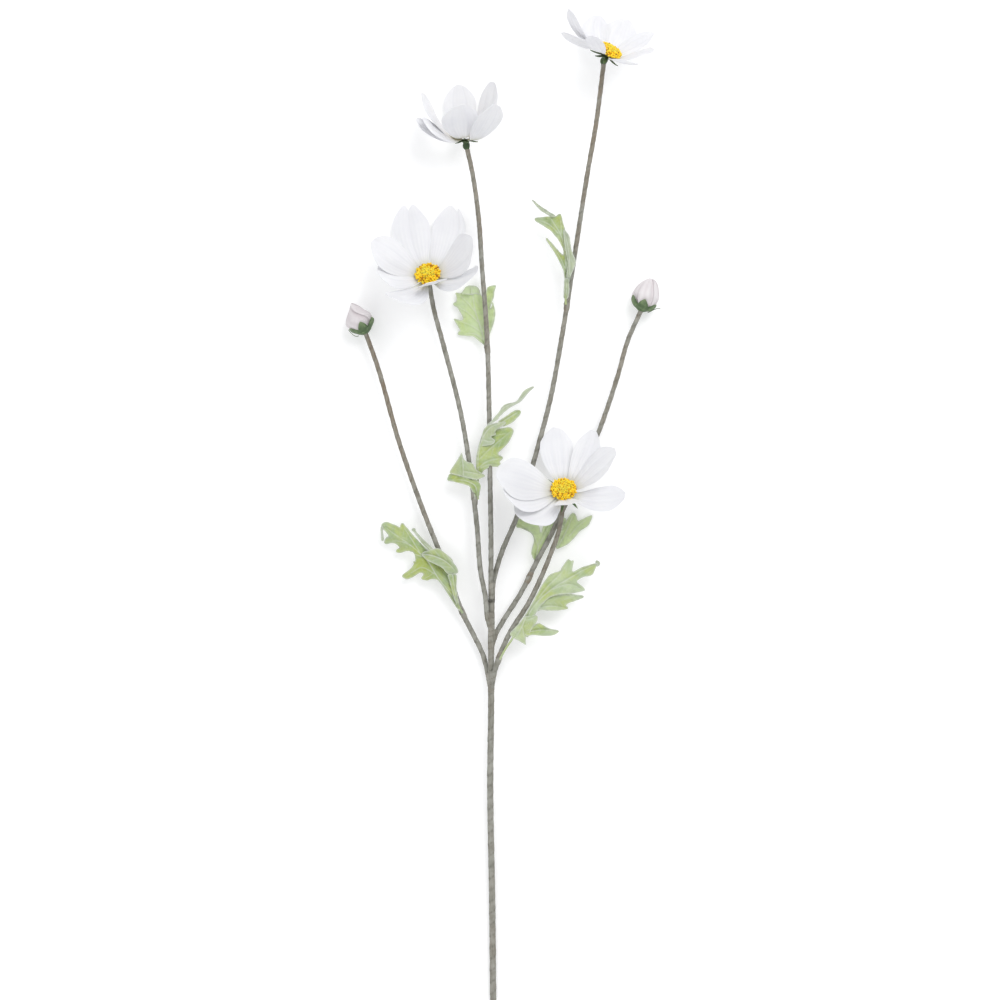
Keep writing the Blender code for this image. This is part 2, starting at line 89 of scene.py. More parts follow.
# ---------------------------------------------------------------- flower heads
PETAL_THICKNESS = 0.32
PETAL_ROWS, PETAL_COLUMNS = 44, 37
PETAL_ROOT = 2.6                 # how far from the head's axis a petal starts
PETAL_FLAT = 0.16                # share of a petal that lies flat under the disc
SPINE_POINTS = 400
LAYER_TOP = -0.5                 # level of the top layer of petals
LAYER_PITCH = 0.7
DISC_RADIUS = 8.3
DOME_HEIGHT = 3.1
STAMEN_COUNT = 400
GOLDEN_FROM = 0.62               # share of the disc's radius where the golden stamens start
# places on the stamens' colour ramp, from brown at 0 to green-ochre at 1
GOLDEN_TINTS = (0.36, 0.46, 0.5, 0.55, 0.6, 0.66, 0.7, 0.74, 0.14)
GREEN_TINTS = (0.95, 0.88, 0.82, 0.78, 0.72, 0.66, 0.55, 0.25)
KNOB_DEPTH = 7.0                 # how far behind the disc the branch enters its knob
KNOB_SIDES = 20
SEPAL_COUNT = 8
SEPAL_ROOT = 2.0                 # how far from the head's axis a sepal starts
SEPAL_THICKNESS = 0.35
# how far each head's sepals reach from its middle
SEPAL_REACH = {"flower_left": 11.5, "flower_front": 15.5,
               "flower_top": 12, "flower_middle": 11.5}

# Each head: the middle of its disc, the way it faces, and its petals.  Each petal: angle
# round the head, length, width, lift at the disc, lift at the tip, roll, layer (0 on top),
# then what sets it apart: "split" (how deep its tip is split, and where across it), "sweep"
# (bend in its own plane) and "pleat" (height of its folds).  Angles are in degrees.
HEADS = {
    "flower_left": dict(
        centre=(-40.9, 471.0, 17.8), facing=(-0.10, 0.58, 0.81), petals=[
            (-33, 43, 25, 20, 50, -13, 2, dict(sweep=18)),
            (10, 42, 27, 30, 62, 3, 0, dict(split=(0.03, -0.4), sweep=3)),
            (59, 50, 22, 3, 32, 10, 2, dict(split=(0.06, -0.55), pleat=0.7, sweep=25)),
            (117, 50, 25, 6, 38, 0, 1, dict(split=(0.07, 0.05), pleat=0.8, sweep=-30)),
            (159, 42, 27, 26, 48, 6, 0, dict(sweep=2)),
            (189, 33, 24, 27, 33, 0, 1, {}),
            (247, 45, 25, 17, 52, 6, 2, dict(sweep=-19)),
            (286, 26, 20, 34, 66, 0, 0, dict(split=(0.03, 0.2)))]),
    "flower_front": dict(
        centre=(47.0, 331.5, 21.5), facing=(0.0, 0.53, 0.85), petals=[
            (-25, 42, 19, 13, 32, 5, 3, dict(sweep=21)),
            (26, 43, 23, 40, 42, -17, 0, dict(sweep=-4)),
            (54, 43, 17, 12, 42, 4, 1, dict(sweep=16)),
            (101, 42, 22, 14, 20, 6, 2, dict(sweep=-9)),
            (173, 45, 30, 26, 26, -4, 0, dict(sweep=9)),
            (195, 41, 29, 8, 38, 3, 1, {}),
            (223, 36, 30, 0, 25, 12, 3, {}),
            (280, 25, 18, 32, 60, 0, 0, dict(split=(0.02, 0.0)))]),
    "flower_top": dict(
        centre=(76.2, 614.1, 32.0), facing=(0.449, 0.773, 0.438), petals=[
            (-32, 31, 23, 46, 45, 10, 0, {}),
            (43, 36, 14, 32, 39, -9, 1, {}),
            (72, 40, 22, 6, 35, -9, 2, dict(split=(0.03, 0.3), pleat=0.6, sweep=12)),
            (116, 39, 19, -6, 28, -18, 3, dict(sweep=-28)),
            (193, 43, 16, 8, 52, 23, 1, {}),
            (193, 33, 18, 4, 8, 37, 2, dict(sweep=-4)),
            (231, 36, 13, 22, 40, 28, 0, dict(sweep=5)),
            (292, 31, 16, 19, 36, 0, 1, {})]),
    "flower_middle": dict(
        centre=(-16.8, 561.4, 19.8), facing=(-0.12, 0.96, 0.25), petals=[
            (-11, 30, 19, 46, 66, 0, 2, {}),
            (25, 42, 17, 57, 68, 6, 1, dict(sweep=19)),
            (97, 41, 21, 44, 70, 5, 0, dict(sweep=-13)),
            (176, 42, 20, 46, 77, 6, 1, dict(sweep=-18)),
            (196, 34, 14, 14, 58, -14, 3, dict(sweep=-27)),
            (212, 33, 19, 23, 56, -24, 2, dict(sweep=-15)),
            (262, 39, 24, 44, 55, 3, 0, dict(sweep=17)),
            (306, 45, 19, 31, 50, -15, 3, dict(sweep=2))]),
}

# ---------------------------------------------------------------- buds
# Each bud: where its foot and its tip are, its length and radius, how narrow its tip is
# beside its belly ("point"), how full its ends are (a lower "blunt" is fuller), the turn of
# its first petal in degrees, how far its petals wind round it ("twist", in turns), how many
# petals wrap it and how many folds each has, how deep the folds are, how many lobes its cup
# has, and on which side ("stray", in degrees) a sepal stands off the cup, how far ("spread").
BUDS = {
    "bud_left": dict(base=(-81.4, 433.2, 9.3), tip=(-91.4, 454.1, 9.3), length=22.0,
                     radius=8.6, point=0.55, blunt=0.65, turn=238, twist=-0.36, petals=3,
                     folds=2, fold_depth=0.12, lobes=6, stray=180, spread=0.0),
    "bud_right": dict(base=(97.4, 447.9, 9.3), tip=(105.3, 470.3, 9.3), length=22.0,
                      radius=8.2, point=0.86, blunt=0.42, turn=100, twist=-0.07, petals=5,
                      folds=2, fold_depth=0.32, lobes=6, stray=-8, spread=1.0),
}
BUD_CUP_HEIGHT = 6.0
BUD_CUP_WALL = 0.6
CUP_THICKNESS = 0.45

# ---------------------------------------------------------------- leaves
LEAF_THICKNESS = 0.38
LEAF_CELL = 0.5                  # spacing of the points in a leaf's sheet
CORNER_SHARE = 0.22              # how much of each side an outline's corners are cut by,
CORNER_REACH = 1.1               # and the most that they are cut by
LEAF_LOWEST = 0.35               # the middle of the cloth lies no lower than this
NERVE_PITCH = 2.8                # spacing of the side nerves along a rib
STALK_RADIUS, STALK_TIP_RADIUS = 0.8, 0.45

# Each leaf is pressed from one cloth and folded.  Its panels, lowest first: the outline,
# the ribs as points from root to tip, how much of the grey underside shows, and how
# steeply the cloth falls away to one side of its ribs, in degrees.
LEAVES = {
    "bud_left": [
        dict(grey=0.1, tilt=6, outline=[
            (-20.5, 252.5), (-24.5, 258), (-31, 268.5), (-35, 273.5), (-39.5, 273.5), (-41, 272.5),
            (-45, 273), (-45.5, 274.5), (-43.5, 277), (-46, 278), (-49.5, 275.5), (-54.5, 273),
            (-58.5, 275), (-57.5, 276.5), (-52, 280.5), (-50, 283.5), (-51, 285), (-49, 285.5),
            (-50, 291), (-54, 292), (-59.5, 290.5), (-62, 291), (-61.5, 293), (-59, 294),
            (-62, 296.5), (-65, 297), (-68, 296), (-70, 297), (-68.5, 300.5), (-66.5, 301.5),
            (-68.5, 304.5), (-71.5, 307), (-71, 310), (-68, 311), (-61.5, 308.5), (-59, 307),
            (-59, 309), (-57.5, 310.5), (-55, 307.5), (-50, 301.5), (-41, 292), (-34, 293.5),
            (-28, 289), (-24.5, 285.5), (-24.5, 279), (-25.5, 272.5), (-20, 253.5)], ribs=[
            [(-20, 252.5, 8.2), (-24.5, 261.5, 9.8), (-34.5, 274.5, 10.6), (-41, 285, 11.2),
             (-51.5, 295, 11), (-63, 303, 9.6), (-68.5, 307, 7)],
            [(-35.5, 276.5, 10.6), (-46, 281, 8.4), (-50.5, 278.5, 7), (-56, 275, 5.2)],
            [(-37.5, 277.5, 10), (-40, 275.5, 8.6), (-43.5, 274, 7)],
            [(-44, 288, 11), (-54, 291, 8.6), (-60, 292, 6.6)],
            [(-51.5, 295, 10.6), (-58, 298, 9), (-68.5, 298, 5.6)],
            [(-46.5, 291.5, 11.4), (-50, 297, 12), (-57.5, 309, 10)]]),
        dict(grey=0.45, tilt=-4, outline=[
            (-45.5, 290), (-42.5, 292), (-34, 294), (-28, 289), (-22.5, 282), (-21, 278.5),
            (-22, 277), (-28, 276.5), (-31.5, 281), (-35.5, 283), (-42, 286)], ribs=[
            [(-45, 290, 11.6), (-38.5, 289, 13), (-28, 284, 14), (-23, 278.5, 12)]]),
        dict(grey=0.2, tilt=0, outline=[
            (-28.5, 277), (-22, 277), (-22.5, 268), (-20, 253), (-21, 253), (-24.5, 263),
            (-27, 272.5)], ribs=[
            [(-25, 276.5, 12.6), (-22.5, 261.5, 10.6), (-20.5, 253.5, 8.8)]]),
        dict(grey=0.8, tilt=0, outline=[
            (-52, 305.5), (-50.5, 307), (-49, 306.5), (-49, 305), (-45, 300.5), (-39.5, 295.5),
            (-34.5, 289.5), (-37.5, 289), (-43.5, 295), (-50, 304)], ribs=[
            [(-36, 289.5, 11.6), (-44, 298, 13.2), (-51, 306, 11.2)]]),
        dict(grey=0.9, tilt=0, outline=[
            (-72, 307), (-71, 308.5), (-70, 307), (-70.5, 305), (-69.5, 298.5), (-71.5, 298),
            (-71.5, 302.5)], ribs=[
            [(-71, 307.5, 8), (-71, 302.5, 6.4), (-70.5, 298, 5.4)]]),
    ],
    "flower_front": [
        dict(grey=0.3, tilt=5, outline=[
            (20, 244), (21.5, 249), (29, 262.5), (33, 270), (37, 275.5), (39.5, 277.5), (45, 279),
            (46, 281.5), (50, 287), (52, 285.5), (54, 286), (53.5, 283.5), (52.5, 278),
            (59, 281.5), (68, 284), (69, 283), (66, 276), (59.5, 275), (55, 272), (59.5, 269),
            (61.5, 266.5), (59, 265.5), (53.5, 264.5), (42, 263.5), (37.5, 261.5), (32, 256),
            (28, 249.5), (24, 244)], ribs=[
            [(22, 245.5, 14.6), (27, 255, 15.4), (38.5, 266.5, 15.6), (50.5, 274, 15),
             (62, 280.5, 13.2), (68, 283, 12)],
            [(31, 261.5, 15.8), (36, 268, 16), (45, 277, 15.2), (51, 285.5, 13.4)],
            [(40, 267, 15.4), (46.5, 269.5, 14.8), (52.5, 270, 14), (59.5, 266.5, 12.6)]]),
        dict(grey=0.4, tilt=4, outline=[
            (24, 247), (27.5, 254.5), (33.5, 261), (37, 263), (41, 264), (51.5, 264.5),
            (54, 263.5), (60, 263), (60.5, 261.5), (56.5, 260), (50.5, 258), (48.5, 256.5),
            (50.5, 255), (49.5, 254), (42.5, 253), (31, 253.5), (27, 249.5)], ribs=[
            [(25, 248.5, 14.2), (33.5, 259, 14.2), (40, 262.5, 13.6), (59.5, 262, 10.8)],
            [(30.5, 254.5, 13.8), (37, 256, 13.2), (49.5, 254.5, 11)]]),
        dict(grey=0.5, tilt=-6, outline=[
            (12, 238.5), (20, 247), (21.5, 249.5), (29, 250.5), (30.5, 249.5), (30, 246),
            (26.5, 241.5), (24, 235.5), (22.5, 236.5), (22.5, 233), (23, 230.5), (19, 233),
            (13, 236.5)], ribs=[
            [(22.5, 249, 15.6), (20.5, 244, 16.6), (16, 235.5, 15.4)],
            [(20.5, 242, 16.4), (21.5, 236.5, 15.4), (23, 231, 13.6)],
            [(22.5, 247, 16), (26.5, 248, 15.4), (30, 249.5, 14.4)]]),
        dict(grey=0.15, tilt=0, outline=[
            (21.5, 239), (27.5, 243), (30, 245), (32, 245), (37.5, 241.5), (43.5, 240.5),
            (44.5, 239.5), (41, 237), (34.5, 236.5), (27.5, 237.5), (23, 236.5)], ribs=[
            [(22.5, 239, 15.2), (31, 240.5, 13.8), (44, 239.5, 10.8)]]),
        dict(grey=0.9, tilt=0, outline=[
            (67.5, 284.5), (68.5, 286), (70.5, 285), (71, 283.5), (70, 282), (68.5, 281.5),
            (69, 283)], ribs=[
            [(68, 283.5, 12.4), (69.5, 284.5, 13), (69.5, 282, 12)]]),
    ],
    "flower_middle": [
        dict(grey=0.2, tilt=-5, outline=[
            (-3.5, 425), (-8.5, 429), (-11.5, 431.5), (-14, 431.5), (-22, 432.5), (-21.5, 434.5),
            (-20, 435.5), (-22.5, 439.5), (-25, 443.5), (-19, 442), (-18, 443.5), (-22, 450.5),
            (-24, 451.5), (-25, 453), (-22.5, 454.5), (-22.5, 457.5), (-23.5, 460.5), (-19, 459.5),
            (-16, 464.5), (-10, 464.5), (-8.5, 463), (-6, 457.5), (-4.5, 456.5), (-3, 461.5),
            (-2, 464), (2, 465), (3.5, 464.5), (2, 460.5), (2, 457.5), (-1, 449.5), (0.5, 450.5),
            (1, 455), (3, 447), (2, 440.5), (0, 435), (-2.5, 428)], ribs=[
            [(-3.5, 425, 6.4), (-7, 438, 4.8), (-10.5, 449.5, 4.2), (-12, 462.5, 5.2)],
            [(-4.5, 429, 5.6), (-10, 433, 4.6), (-21, 433, 2.8)],
            [(-6, 434, 5), (-11.5, 438, 4), (-24.5, 443, 2.2)],
            [(-8.5, 441, 4.6), (-13.5, 446, 3.8), (-24, 452.5, 2)],
            [(-10, 447.5, 4.4), (-15, 453.5, 3.6), (-22.5, 460, 2.2)],
            [(-4.5, 431.5, 5.2), (-0.5, 437, 4.4), (1.5, 443.5, 4), (1.5, 452.5, 3.8)],
            [(-5, 437, 5), (-2, 445, 4.6), (0, 453.5, 4.6), (2.5, 464, 5)]]),
        dict(grey=1.0, tilt=0, outline=[
            (-19.5, 459.5), (-16, 464.5), (-10, 464.5), (-8, 463), (-7, 460.5), (-7.5, 458.5),
            (-10, 459.5), (-12.5, 458.5), (-17.5, 459)], ribs=[
            [(-12.5, 459, 5.4), (-12.5, 463.5, 6.2)]]),
    ],
    "flower_top": [
        dict(grey=0.15, tilt=8, outline=[
            (48, 465.5), (47, 474), (44, 480.5), (40, 487.5), (36.5, 492.5), (35.5, 494.5),
            (36, 495.5), (39.5, 492), (43.5, 487), (47, 483.5), (47, 487.5), (43.5, 494),
            (38.5, 500), (29, 506), (28, 507.5), (29, 508.5), (35, 509), (42, 509), (44, 510.5),
            (45.5, 510.5), (46.5, 505.5), (49.5, 496), (50.5, 490), (52, 477), (51, 470.5),
            (50, 465.5)], ribs=[
            [(49, 465.5, 14.6), (48.5, 480.5, 16.8), (46, 495, 17), (38, 509, 15.4)],
            [(43.5, 498, 16.4), (39, 503, 15.2), (28.5, 507.5, 11.8)],
            [(48, 475.5, 15.6), (44.5, 483, 15), (36, 494.5, 13)],
            [(45.5, 498, 16.8), (45.5, 504, 16.8), (44.5, 510, 16.4)]]),
        dict(grey=0.85, tilt=-10, outline=[
            (47, 501.5), (51, 496), (52, 487.5), (55, 480), (54.5, 476.5), (51.5, 470),
            (50.5, 465.5), (49.5, 466.5), (49, 470.5), (50, 478.5), (48, 488.5), (47, 496.5)],
            ribs=[
            [(50, 466.5, 15.4), (51, 474, 17), (50, 488.5, 18.4), (47.5, 500.5, 17.2)]]),
        dict(grey=0.9, tilt=0, outline=[
            (26, 520.5), (27.5, 520), (32, 516), (42.5, 509), (40, 508), (32.5, 512.5),
            (28.5, 517)], ribs=[
            [(42, 508.5, 16.6), (38, 510.5, 15.4), (26, 520, 10.6)]]),
        dict(grey=0.7, tilt=0, outline=[
            (47, 455.5), (47.5, 469), (50.5, 469), (51, 461), (50, 455.5)], ribs=[
            [(48.5, 455.5, 14), (49, 462.5, 15.2), (49, 468, 16.4)]]),
    ],
    "flower_left": [
        dict(grey=0.1, tilt=6, outline=[
            (-9, 341), (-10, 351), (-8, 360.5), (-6, 367), (-4, 372.5), (-1, 372), (3, 370.5),
            (5.5, 371.5), (12, 372.5), (14, 371.5), (15, 369.5), (12, 363), (8, 358.5), (4, 355),
            (8.5, 352.5), (5.5, 350), (6.5, 348.5), (5.5, 346.5), (0, 346.5), (-4.5, 344.5),
            (-7, 341)], ribs=[
            [(-8.5, 341.5, 12.4), (-8.5, 352.5, 14.2), (-5.5, 367, 15), (-4, 372, 15)],
            [(-8, 351, 14), (-2.5, 356.5, 13.8), (14, 370.5, 12.4)],
            [(-8, 346, 13.4), (-3.5, 349.5, 13.2), (8, 352.5, 12.4)],
            [(-6.5, 346, 13), (-1, 348, 12.6), (5.5, 347.5, 12)]]),
        dict(grey=0.75, tilt=-4, outline=[
            (-7, 360.5), (-5.5, 369), (-4, 372), (-1.5, 374), (5.5, 375.5), (9, 376), (10, 375.5),
            (8.5, 373.5), (4, 371), (2.5, 369), (3.5, 367.5), (-0.5, 366), (2.5, 364),
            (2.5, 362.5), (1, 361), (-5, 360)], ribs=[
            [(-6.5, 360.5, 14.8), (-4.5, 367, 15.8), (-1, 371.5, 16.2), (9, 375.5, 15)],
            [(-5, 364, 15.6), (-2, 363, 15.4), (2, 363, 14.6)]]),
        dict(grey=0.2, tilt=4, outline=[
            (5, 375), (4.5, 376), (10.5, 380), (15.5, 383.5), (18.5, 383.5), (19.5, 382.5),
            (19, 380.5), (14.5, 375.5), (8.5, 372.5), (6, 373)], ribs=[
            [(5.5, 374.5, 15), (11, 378, 14.4), (19, 383, 13)]]),
        dict(grey=0.95, tilt=-12, outline=[
            (-3.5, 373), (0, 376), (5, 382), (8, 386.5), (10, 387.5), (15.5, 388.5), (17.5, 390),
            (20, 394.5), (22.5, 397), (27, 399), (28.5, 398.5), (24.5, 395), (20.5, 390),
            (18, 388), (11.5, 384.5), (5.5, 379), (4.5, 377), (-1.5, 373.5)], ribs=[
            [(-2, 373.5, 15.6), (8, 384.5, 15.4), (18.5, 390, 13.8), (28, 398.5, 12)]]),
        dict(grey=0.05, tilt=0, outline=[
            (-29, 337.5), (-27, 342.5), (-18, 340.5), (-9, 338), (-7, 335.5), (-6.5, 333),
            (-8.5, 324.5), (-10.5, 324.5), (-10.5, 327.5), (-14, 334), (-17, 335), (-24.5, 337)],
            ribs=[
            [(-9.5, 325, 11.6), (-9, 330, 12.8), (-10.5, 334.5, 13.4), (-15, 337, 13.8),
             (-28, 338, 12.4)]]),
        dict(grey=0.55, tilt=0, outline=[
            (-27.5, 342.5), (-20, 354), (-19, 356.5), (-18, 352), (-16, 350), (-12, 349),
            (-9.5, 344.5), (-3, 340.5), (-9.5, 338), (-18, 340)], ribs=[
            [(-18, 341, 14.4), (-18, 346, 15.4), (-19, 355.5, 14.6)],
            [(-18, 343.5, 15), (-11.5, 342.5, 15.4), (-3.5, 340.5, 14.2)]]),
    ],
    "bud_right": [
        dict(grey=0.1, tilt=6, outline=[
            (16, 307), (17, 313), (19, 313), (25, 309.5), (31, 310.5), (32.5, 303), (34, 309),
            (36, 309.5), (41, 310.5), (39.5, 305.5), (35, 295), (29.5, 284.5), (27, 287),
            (26, 291.5), (28, 298), (27.5, 301.5), (25.5, 304), (20, 306.5)], ribs=[
            [(29, 285, 4.6), (30.5, 293.5, 4.2), (31.5, 300, 3.8)],
            [(30.5, 295, 4), (27.5, 302.5, 3.2), (17, 310.5, 1.8)],
            [(32, 296.5, 4), (35.5, 304, 3.4), (38.5, 309.5, 3)]]),
        dict(grey=0.25, tilt=-6, outline=[
            (42, 293), (44, 301.5), (47.5, 309.5), (52, 316), (53.5, 317), (55.5, 315.5),
            (56.5, 311), (59, 312.5), (66, 315.5), (66, 313.5), (63.5, 308), (58, 305), (55, 301),
            (50, 296), (44.5, 293.5)], ribs=[
            [(43, 293.5, 4.8), (48, 302.5, 4), (54, 316.5, 2)],
            [(51, 301.5, 3.8), (57.5, 308.5, 2.8), (65, 314, 1.8)]]),
        dict(grey=0.3, tilt=0, outline=[
            (37.5, 312.5), (42, 314.5), (48.5, 313.5), (49.5, 311), (46, 306.5), (42, 306),
            (38.5, 307)], ribs=[
            [(38.5, 309.5, 4), (43.5, 310.5, 4.2), (49, 311, 4)]]),
    ],
}
LEAF_STALKS = {
    "bud_left": [(-18.6, 251.5, 7.2), (-20.4, 255, 8.4), (-22.5, 259, 9.6)],
    "flower_middle": [(-3.5, 424, 7.6), (-3.8, 428, 6.4), (-5, 434, 5.4)],
    "flower_top": [(48.6, 452, 12.6), (48.2, 460, 14.2), (48.4, 468, 14.8)],
    "flower_left": [(-8.6, 325.5, 11), (-8.6, 333, 12.2), (-8.2, 343, 13.2)],
    "bud_right": [(25.5, 273.5, 5.2), (27.5, 279, 4.6), (29.6, 286, 4.4)],
    "flower_front": [(5.6, 221.5, 14), (9.5, 228.5, 14.8), (14.5, 236, 15.4), (18, 243, 15.4),
                     (22.5, 249.5, 15)],
}
# how frosted each leaf's flocking is
LEAF_FROST = {"bud_left": 0.25, "flower_middle": 0.6, "flower_top": 0.35,
              "flower_left": 0.3, "bud_right": 0.25, "flower_front": 0.6}
# painted light: how far each leaf's colour is lifted to pale green where it lies in shade
LEAF_PAINTED_LIGHT = {"bud_left": 0.0, "flower_middle": 0.5, "flower_top": 0.0,
              "flower_left": 0.05, "bud_right": 0.5, "flower_front": 0.1}


# ---------------------------------------------------------------- studio
# in metres, like all of the studio
FLOOR_REACH = 4.0
FLOOR_DROP = 0.0002              # keeps the floor from flickering through what lies on it
FLOOR_GLOW = 0.25
KEY = dict(place=(0.9, 1.5, 1.9), size=1.6, power=31)
FILL = dict(place=(-1.2, -1.4, 2.0), size=2.2, power=19)
SKY = 0.73
SKY_COLOUR = (0.97, 0.98, 1.0)
CAMERA_OVER = (5.85, 325.0)      # the point of the spray under the camera, in its millimetres
CAMERA_HEIGHT = 3.0
CAMERA_LENS = 165.6
CAMERA_SENSOR = 36.0


# ---------------------------------------------------------------- meshes
def add_piece(name, points, faces, material, slot, nodes=(), **attributes):
    """Make one piece from points in spray millimetres, riding on the root body."""
    metres = (np.asarray(points, float) - (*SPRAY_MIDDLE, 0.0)) * MM
    metres[:, 2] = np.maximum(metres[:, 2], 0.0)
    mesh = bpy.data.meshes.new(name)
    mesh.from_pydata(metres.tolist(), [], [list(map(int, face)) for face in faces])
    for key, values in attributes.items():
        layer = mesh.attributes.new(key, "FLOAT", "POINT")
        layer.data.foreach_set("value", np.asarray(values, np.float32))
    mesh.materials.append(material)
    mesh.shade_smooth()
    mesh.set_sharp_from_angle(angle=math.radians(SHARP_ANGLE))
    piece = bpy.data.objects.new(name, mesh)
    bpy.context.collection.objects.link(piece)
    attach(piece, "root")
    if nodes:
        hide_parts(*nodes)


def unit(vectors):
    """Vectors scaled to length 1."""
    return vectors / np.maximum(np.linalg.norm(vectors, axis=-1, keepdims=True), 1e-9)


def round_points(turn, radius, height):
    """Points at angles, radii and heights about the Z axis."""
    return np.stack(np.broadcast_arrays(np.cos(turn) * radius, np.sin(turn) * radius, height),
                    axis=-1)


def circle(sides):
    """Angles evenly round a circle."""
    return np.linspace(0, 2 * math.pi, sides, endpoint=False)


def spun(points, turn):
    """Points turned about the Z axis."""
    c, s = math.cos(turn), math.sin(turn)
    return points @ np.array([[c, s, 0], [-s, c, 0], [0, 0, 1]])


def strip(rows, columns):
    """Places over a sheet of rows x columns points: along it 0 to 1, across it -1 to 1."""
    return np.meshgrid(np.linspace(0, 1, rows), np.linspace(-1, 1, columns), indexing="ij")


def fan(middle, first, sides, flip=False):
    """Triangles from a middle point to a ring of points that starts at the first."""
    ring = [first + k for k in range(sides)]
    pairs = zip(ring, ring[1:] + ring[:1])
    return [[middle, b, a] if flip else [middle, a, b] for a, b in pairs]


def grid_faces(rows, columns, wrap=False):
    """Quads over a grid of rows x columns points; wrap joins the last column to the first."""
    index = np.arange(rows * columns).reshape(rows, columns)
    if wrap:
        index = np.hstack([index, index[:, :1]])
    a, b, c, d = index[:-1, :-1], index[1:, :-1], index[1:, 1:], index[:-1, 1:]
    return np.stack([a, b, c, d], axis=-1).reshape(-1, 4)


def solid_sheet(points, faces, thickness):
    """A sheet's closed solid: its points and faces, and which side each point is on."""
    corners = points[faces]
    normal = np.cross(corners[:, 2] - corners[:, 0], corners[:, 3] - corners[:, 1])
    normals = np.zeros_like(points)
    for k in range(4):
        np.add.at(normals, faces[:, k], normal)
    normals = unit(normals)
    half = 0.5 * thickness
    both = np.vstack([points + half * normals, points - half * normals])
    edges = np.vstack([faces[:, [k, (k + 1) % 4]] for k in range(4)])
    known = {(a, b) for a, b in edges.tolist()}
    count = len(points)
    rim = [(b, a, a + count, b + count) for a, b in edges.tolist() if (b, a) not in known]
    sides = np.repeat([0.0, 1.0], count)
    return both, [*faces.tolist(), *(faces[:, ::-1] + count).tolist(), *rim], sides


def joined(parts):
    """Several (points, faces, attributes) as one, the attributes matched by name."""
    points, faces, attributes, start = [], [], {}, 0
    for part_points, part_faces, part_attributes in parts:
        points.append(part_points)
        faces += [[v + start for v in face] for face in part_faces]
        for key, values in part_attributes.items():
            attributes.setdefault(key, []).append(values)
        start += len(part_points)
    return np.vstack(points), faces, {k: np.concatenate(v) for k, v in attributes.items()}


def smooth_route(points, step):
    """Points about one step apart on a smooth curve through the given points."""
    knots = np.array(points, float)
    spans = np.linalg.norm(np.diff(knots, axis=0), axis=1)
    slopes = np.diff(knots, axis=0) / spans[:, None]
    before, after = spans[:-1, None], spans[1:, None]
    inner = (slopes[:-1] * after + slopes[1:] * before) / (before + after)
    tangents = np.vstack([slopes[:1], inner, slopes[-1:]])
    route = []
    for k, span in enumerate(spans):
        t = np.linspace(0, 1, max(1, round(span / step)) + 1)[:-1, None]
        rise = t * t * (3 - 2 * t)
        bend = tangents[k] * t * (1 - t) ** 2 - tangents[k + 1] * t * t * (1 - t)
        route.append(knots[k] + (knots[k + 1] - knots[k]) * rise + span * bend)
    return np.vstack([*route, knots[-1:]])


def waves(seed, count, wavelength):
    """A smooth random function of position, about -1 to 1, the same for each seed."""
    rng = random.Random(seed)
    terms = []
    for _ in range(count):
        angle = rng.uniform(0, 2 * math.pi)
        pace = 2 * math.pi / (wavelength * rng.uniform(0.6, 1.7))
        terms.append((pace * math.cos(angle), pace * math.sin(angle), rng.uniform(0, 6.28)))
    return lambda x, y: sum(np.sin(a * x + b * y + c) for a, b, c in terms) / math.sqrt(count)


# ---------------------------------------------------------------- materials
def new_material(name):
    """A new material, its node tree and its shader."""
    material = bpy.data.materials.new(name)
    material.use_nodes = True
    tree = material.node_tree
    return material, tree, tree.nodes["Principled BSDF"]


def put(tree, socket, value):
    """Link a socket's value, or set it where it is a constant."""
    if isinstance(value, bpy.types.NodeSocket):
        tree.links.new(value, socket)
    else:
        socket.default_value = value


def attribute(tree, name):
    """A number that add_piece() stored at each point."""
    found = tree.nodes.new("ShaderNodeAttribute")
    found.attribute_name = name
    return found.outputs["Fac"]


def texture(tree, scale, detail=3.0, distortion=0.0, stretch=(1, 1, 1)):
    """Noise over the object's own coordinates, scale in repeats per metre."""
    place = tree.nodes.new("ShaderNodeTexCoord")
    mapping = tree.nodes.new("ShaderNodeMapping")
    mapping.inputs["Scale"].default_value = stretch
    tree.links.new(place.outputs["Object"], mapping.inputs["Vector"])
    made = tree.nodes.new("ShaderNodeTexNoise")
    tree.links.new(mapping.outputs["Vector"], made.inputs["Vector"])
    made.inputs["Scale"].default_value = scale
    made.inputs["Detail"].default_value = detail
    made.inputs["Distortion"].default_value = distortion
    return made.outputs["Fac"]


def maths(tree, operation, a, b=0.0):
    made = tree.nodes.new("ShaderNodeMath")
    made.operation = operation
    put(tree, made.inputs[0], a)
    put(tree, made.inputs[1], b)
    return made.outputs[0]


def times(tree, a, b):
    return maths(tree, "MULTIPLY", a, b)


def between(tree, value, low, high, out_low=0.0, out_high=1.0):
    """Value read on a low to high scale, smoothly, as out_low to out_high."""
    made = tree.nodes.new("ShaderNodeMapRange")
    made.interpolation_type = "SMOOTHSTEP"
    put(tree, made.inputs["Value"], value)
    for key, number in (("From Min", low), ("From Max", high),
                        ("To Min", out_low), ("To Max", out_high)):
        made.inputs[key].default_value = number
    return made.outputs[0]


def mixed(tree, factor, a, b):
    """Colour a with a factor's share of colour b over it."""
    made = tree.nodes.new("ShaderNodeMix")
    made.data_type = "RGBA"
    for index, value in ((0, factor), (6, a), (7, b)):
        if isinstance(value, tuple):
            value = (*value, 1.0)
        put(tree, made.inputs[index], value)
    return made.outputs[2]


def ramp(tree, factor, stops):
    """A colour read from a factor, off stops of a position and a colour."""
    made = tree.nodes.new("ShaderNodeValToRGB")
    put(tree, made.inputs["Fac"], factor)
    elements = made.color_ramp.elements
    while len(elements) < len(stops):
        elements.new(1.0)
    for element, (position, colour) in zip(elements, stops):
        element.position = position
        element.color = (*colour, 1.0)
    return made.outputs["Color"]


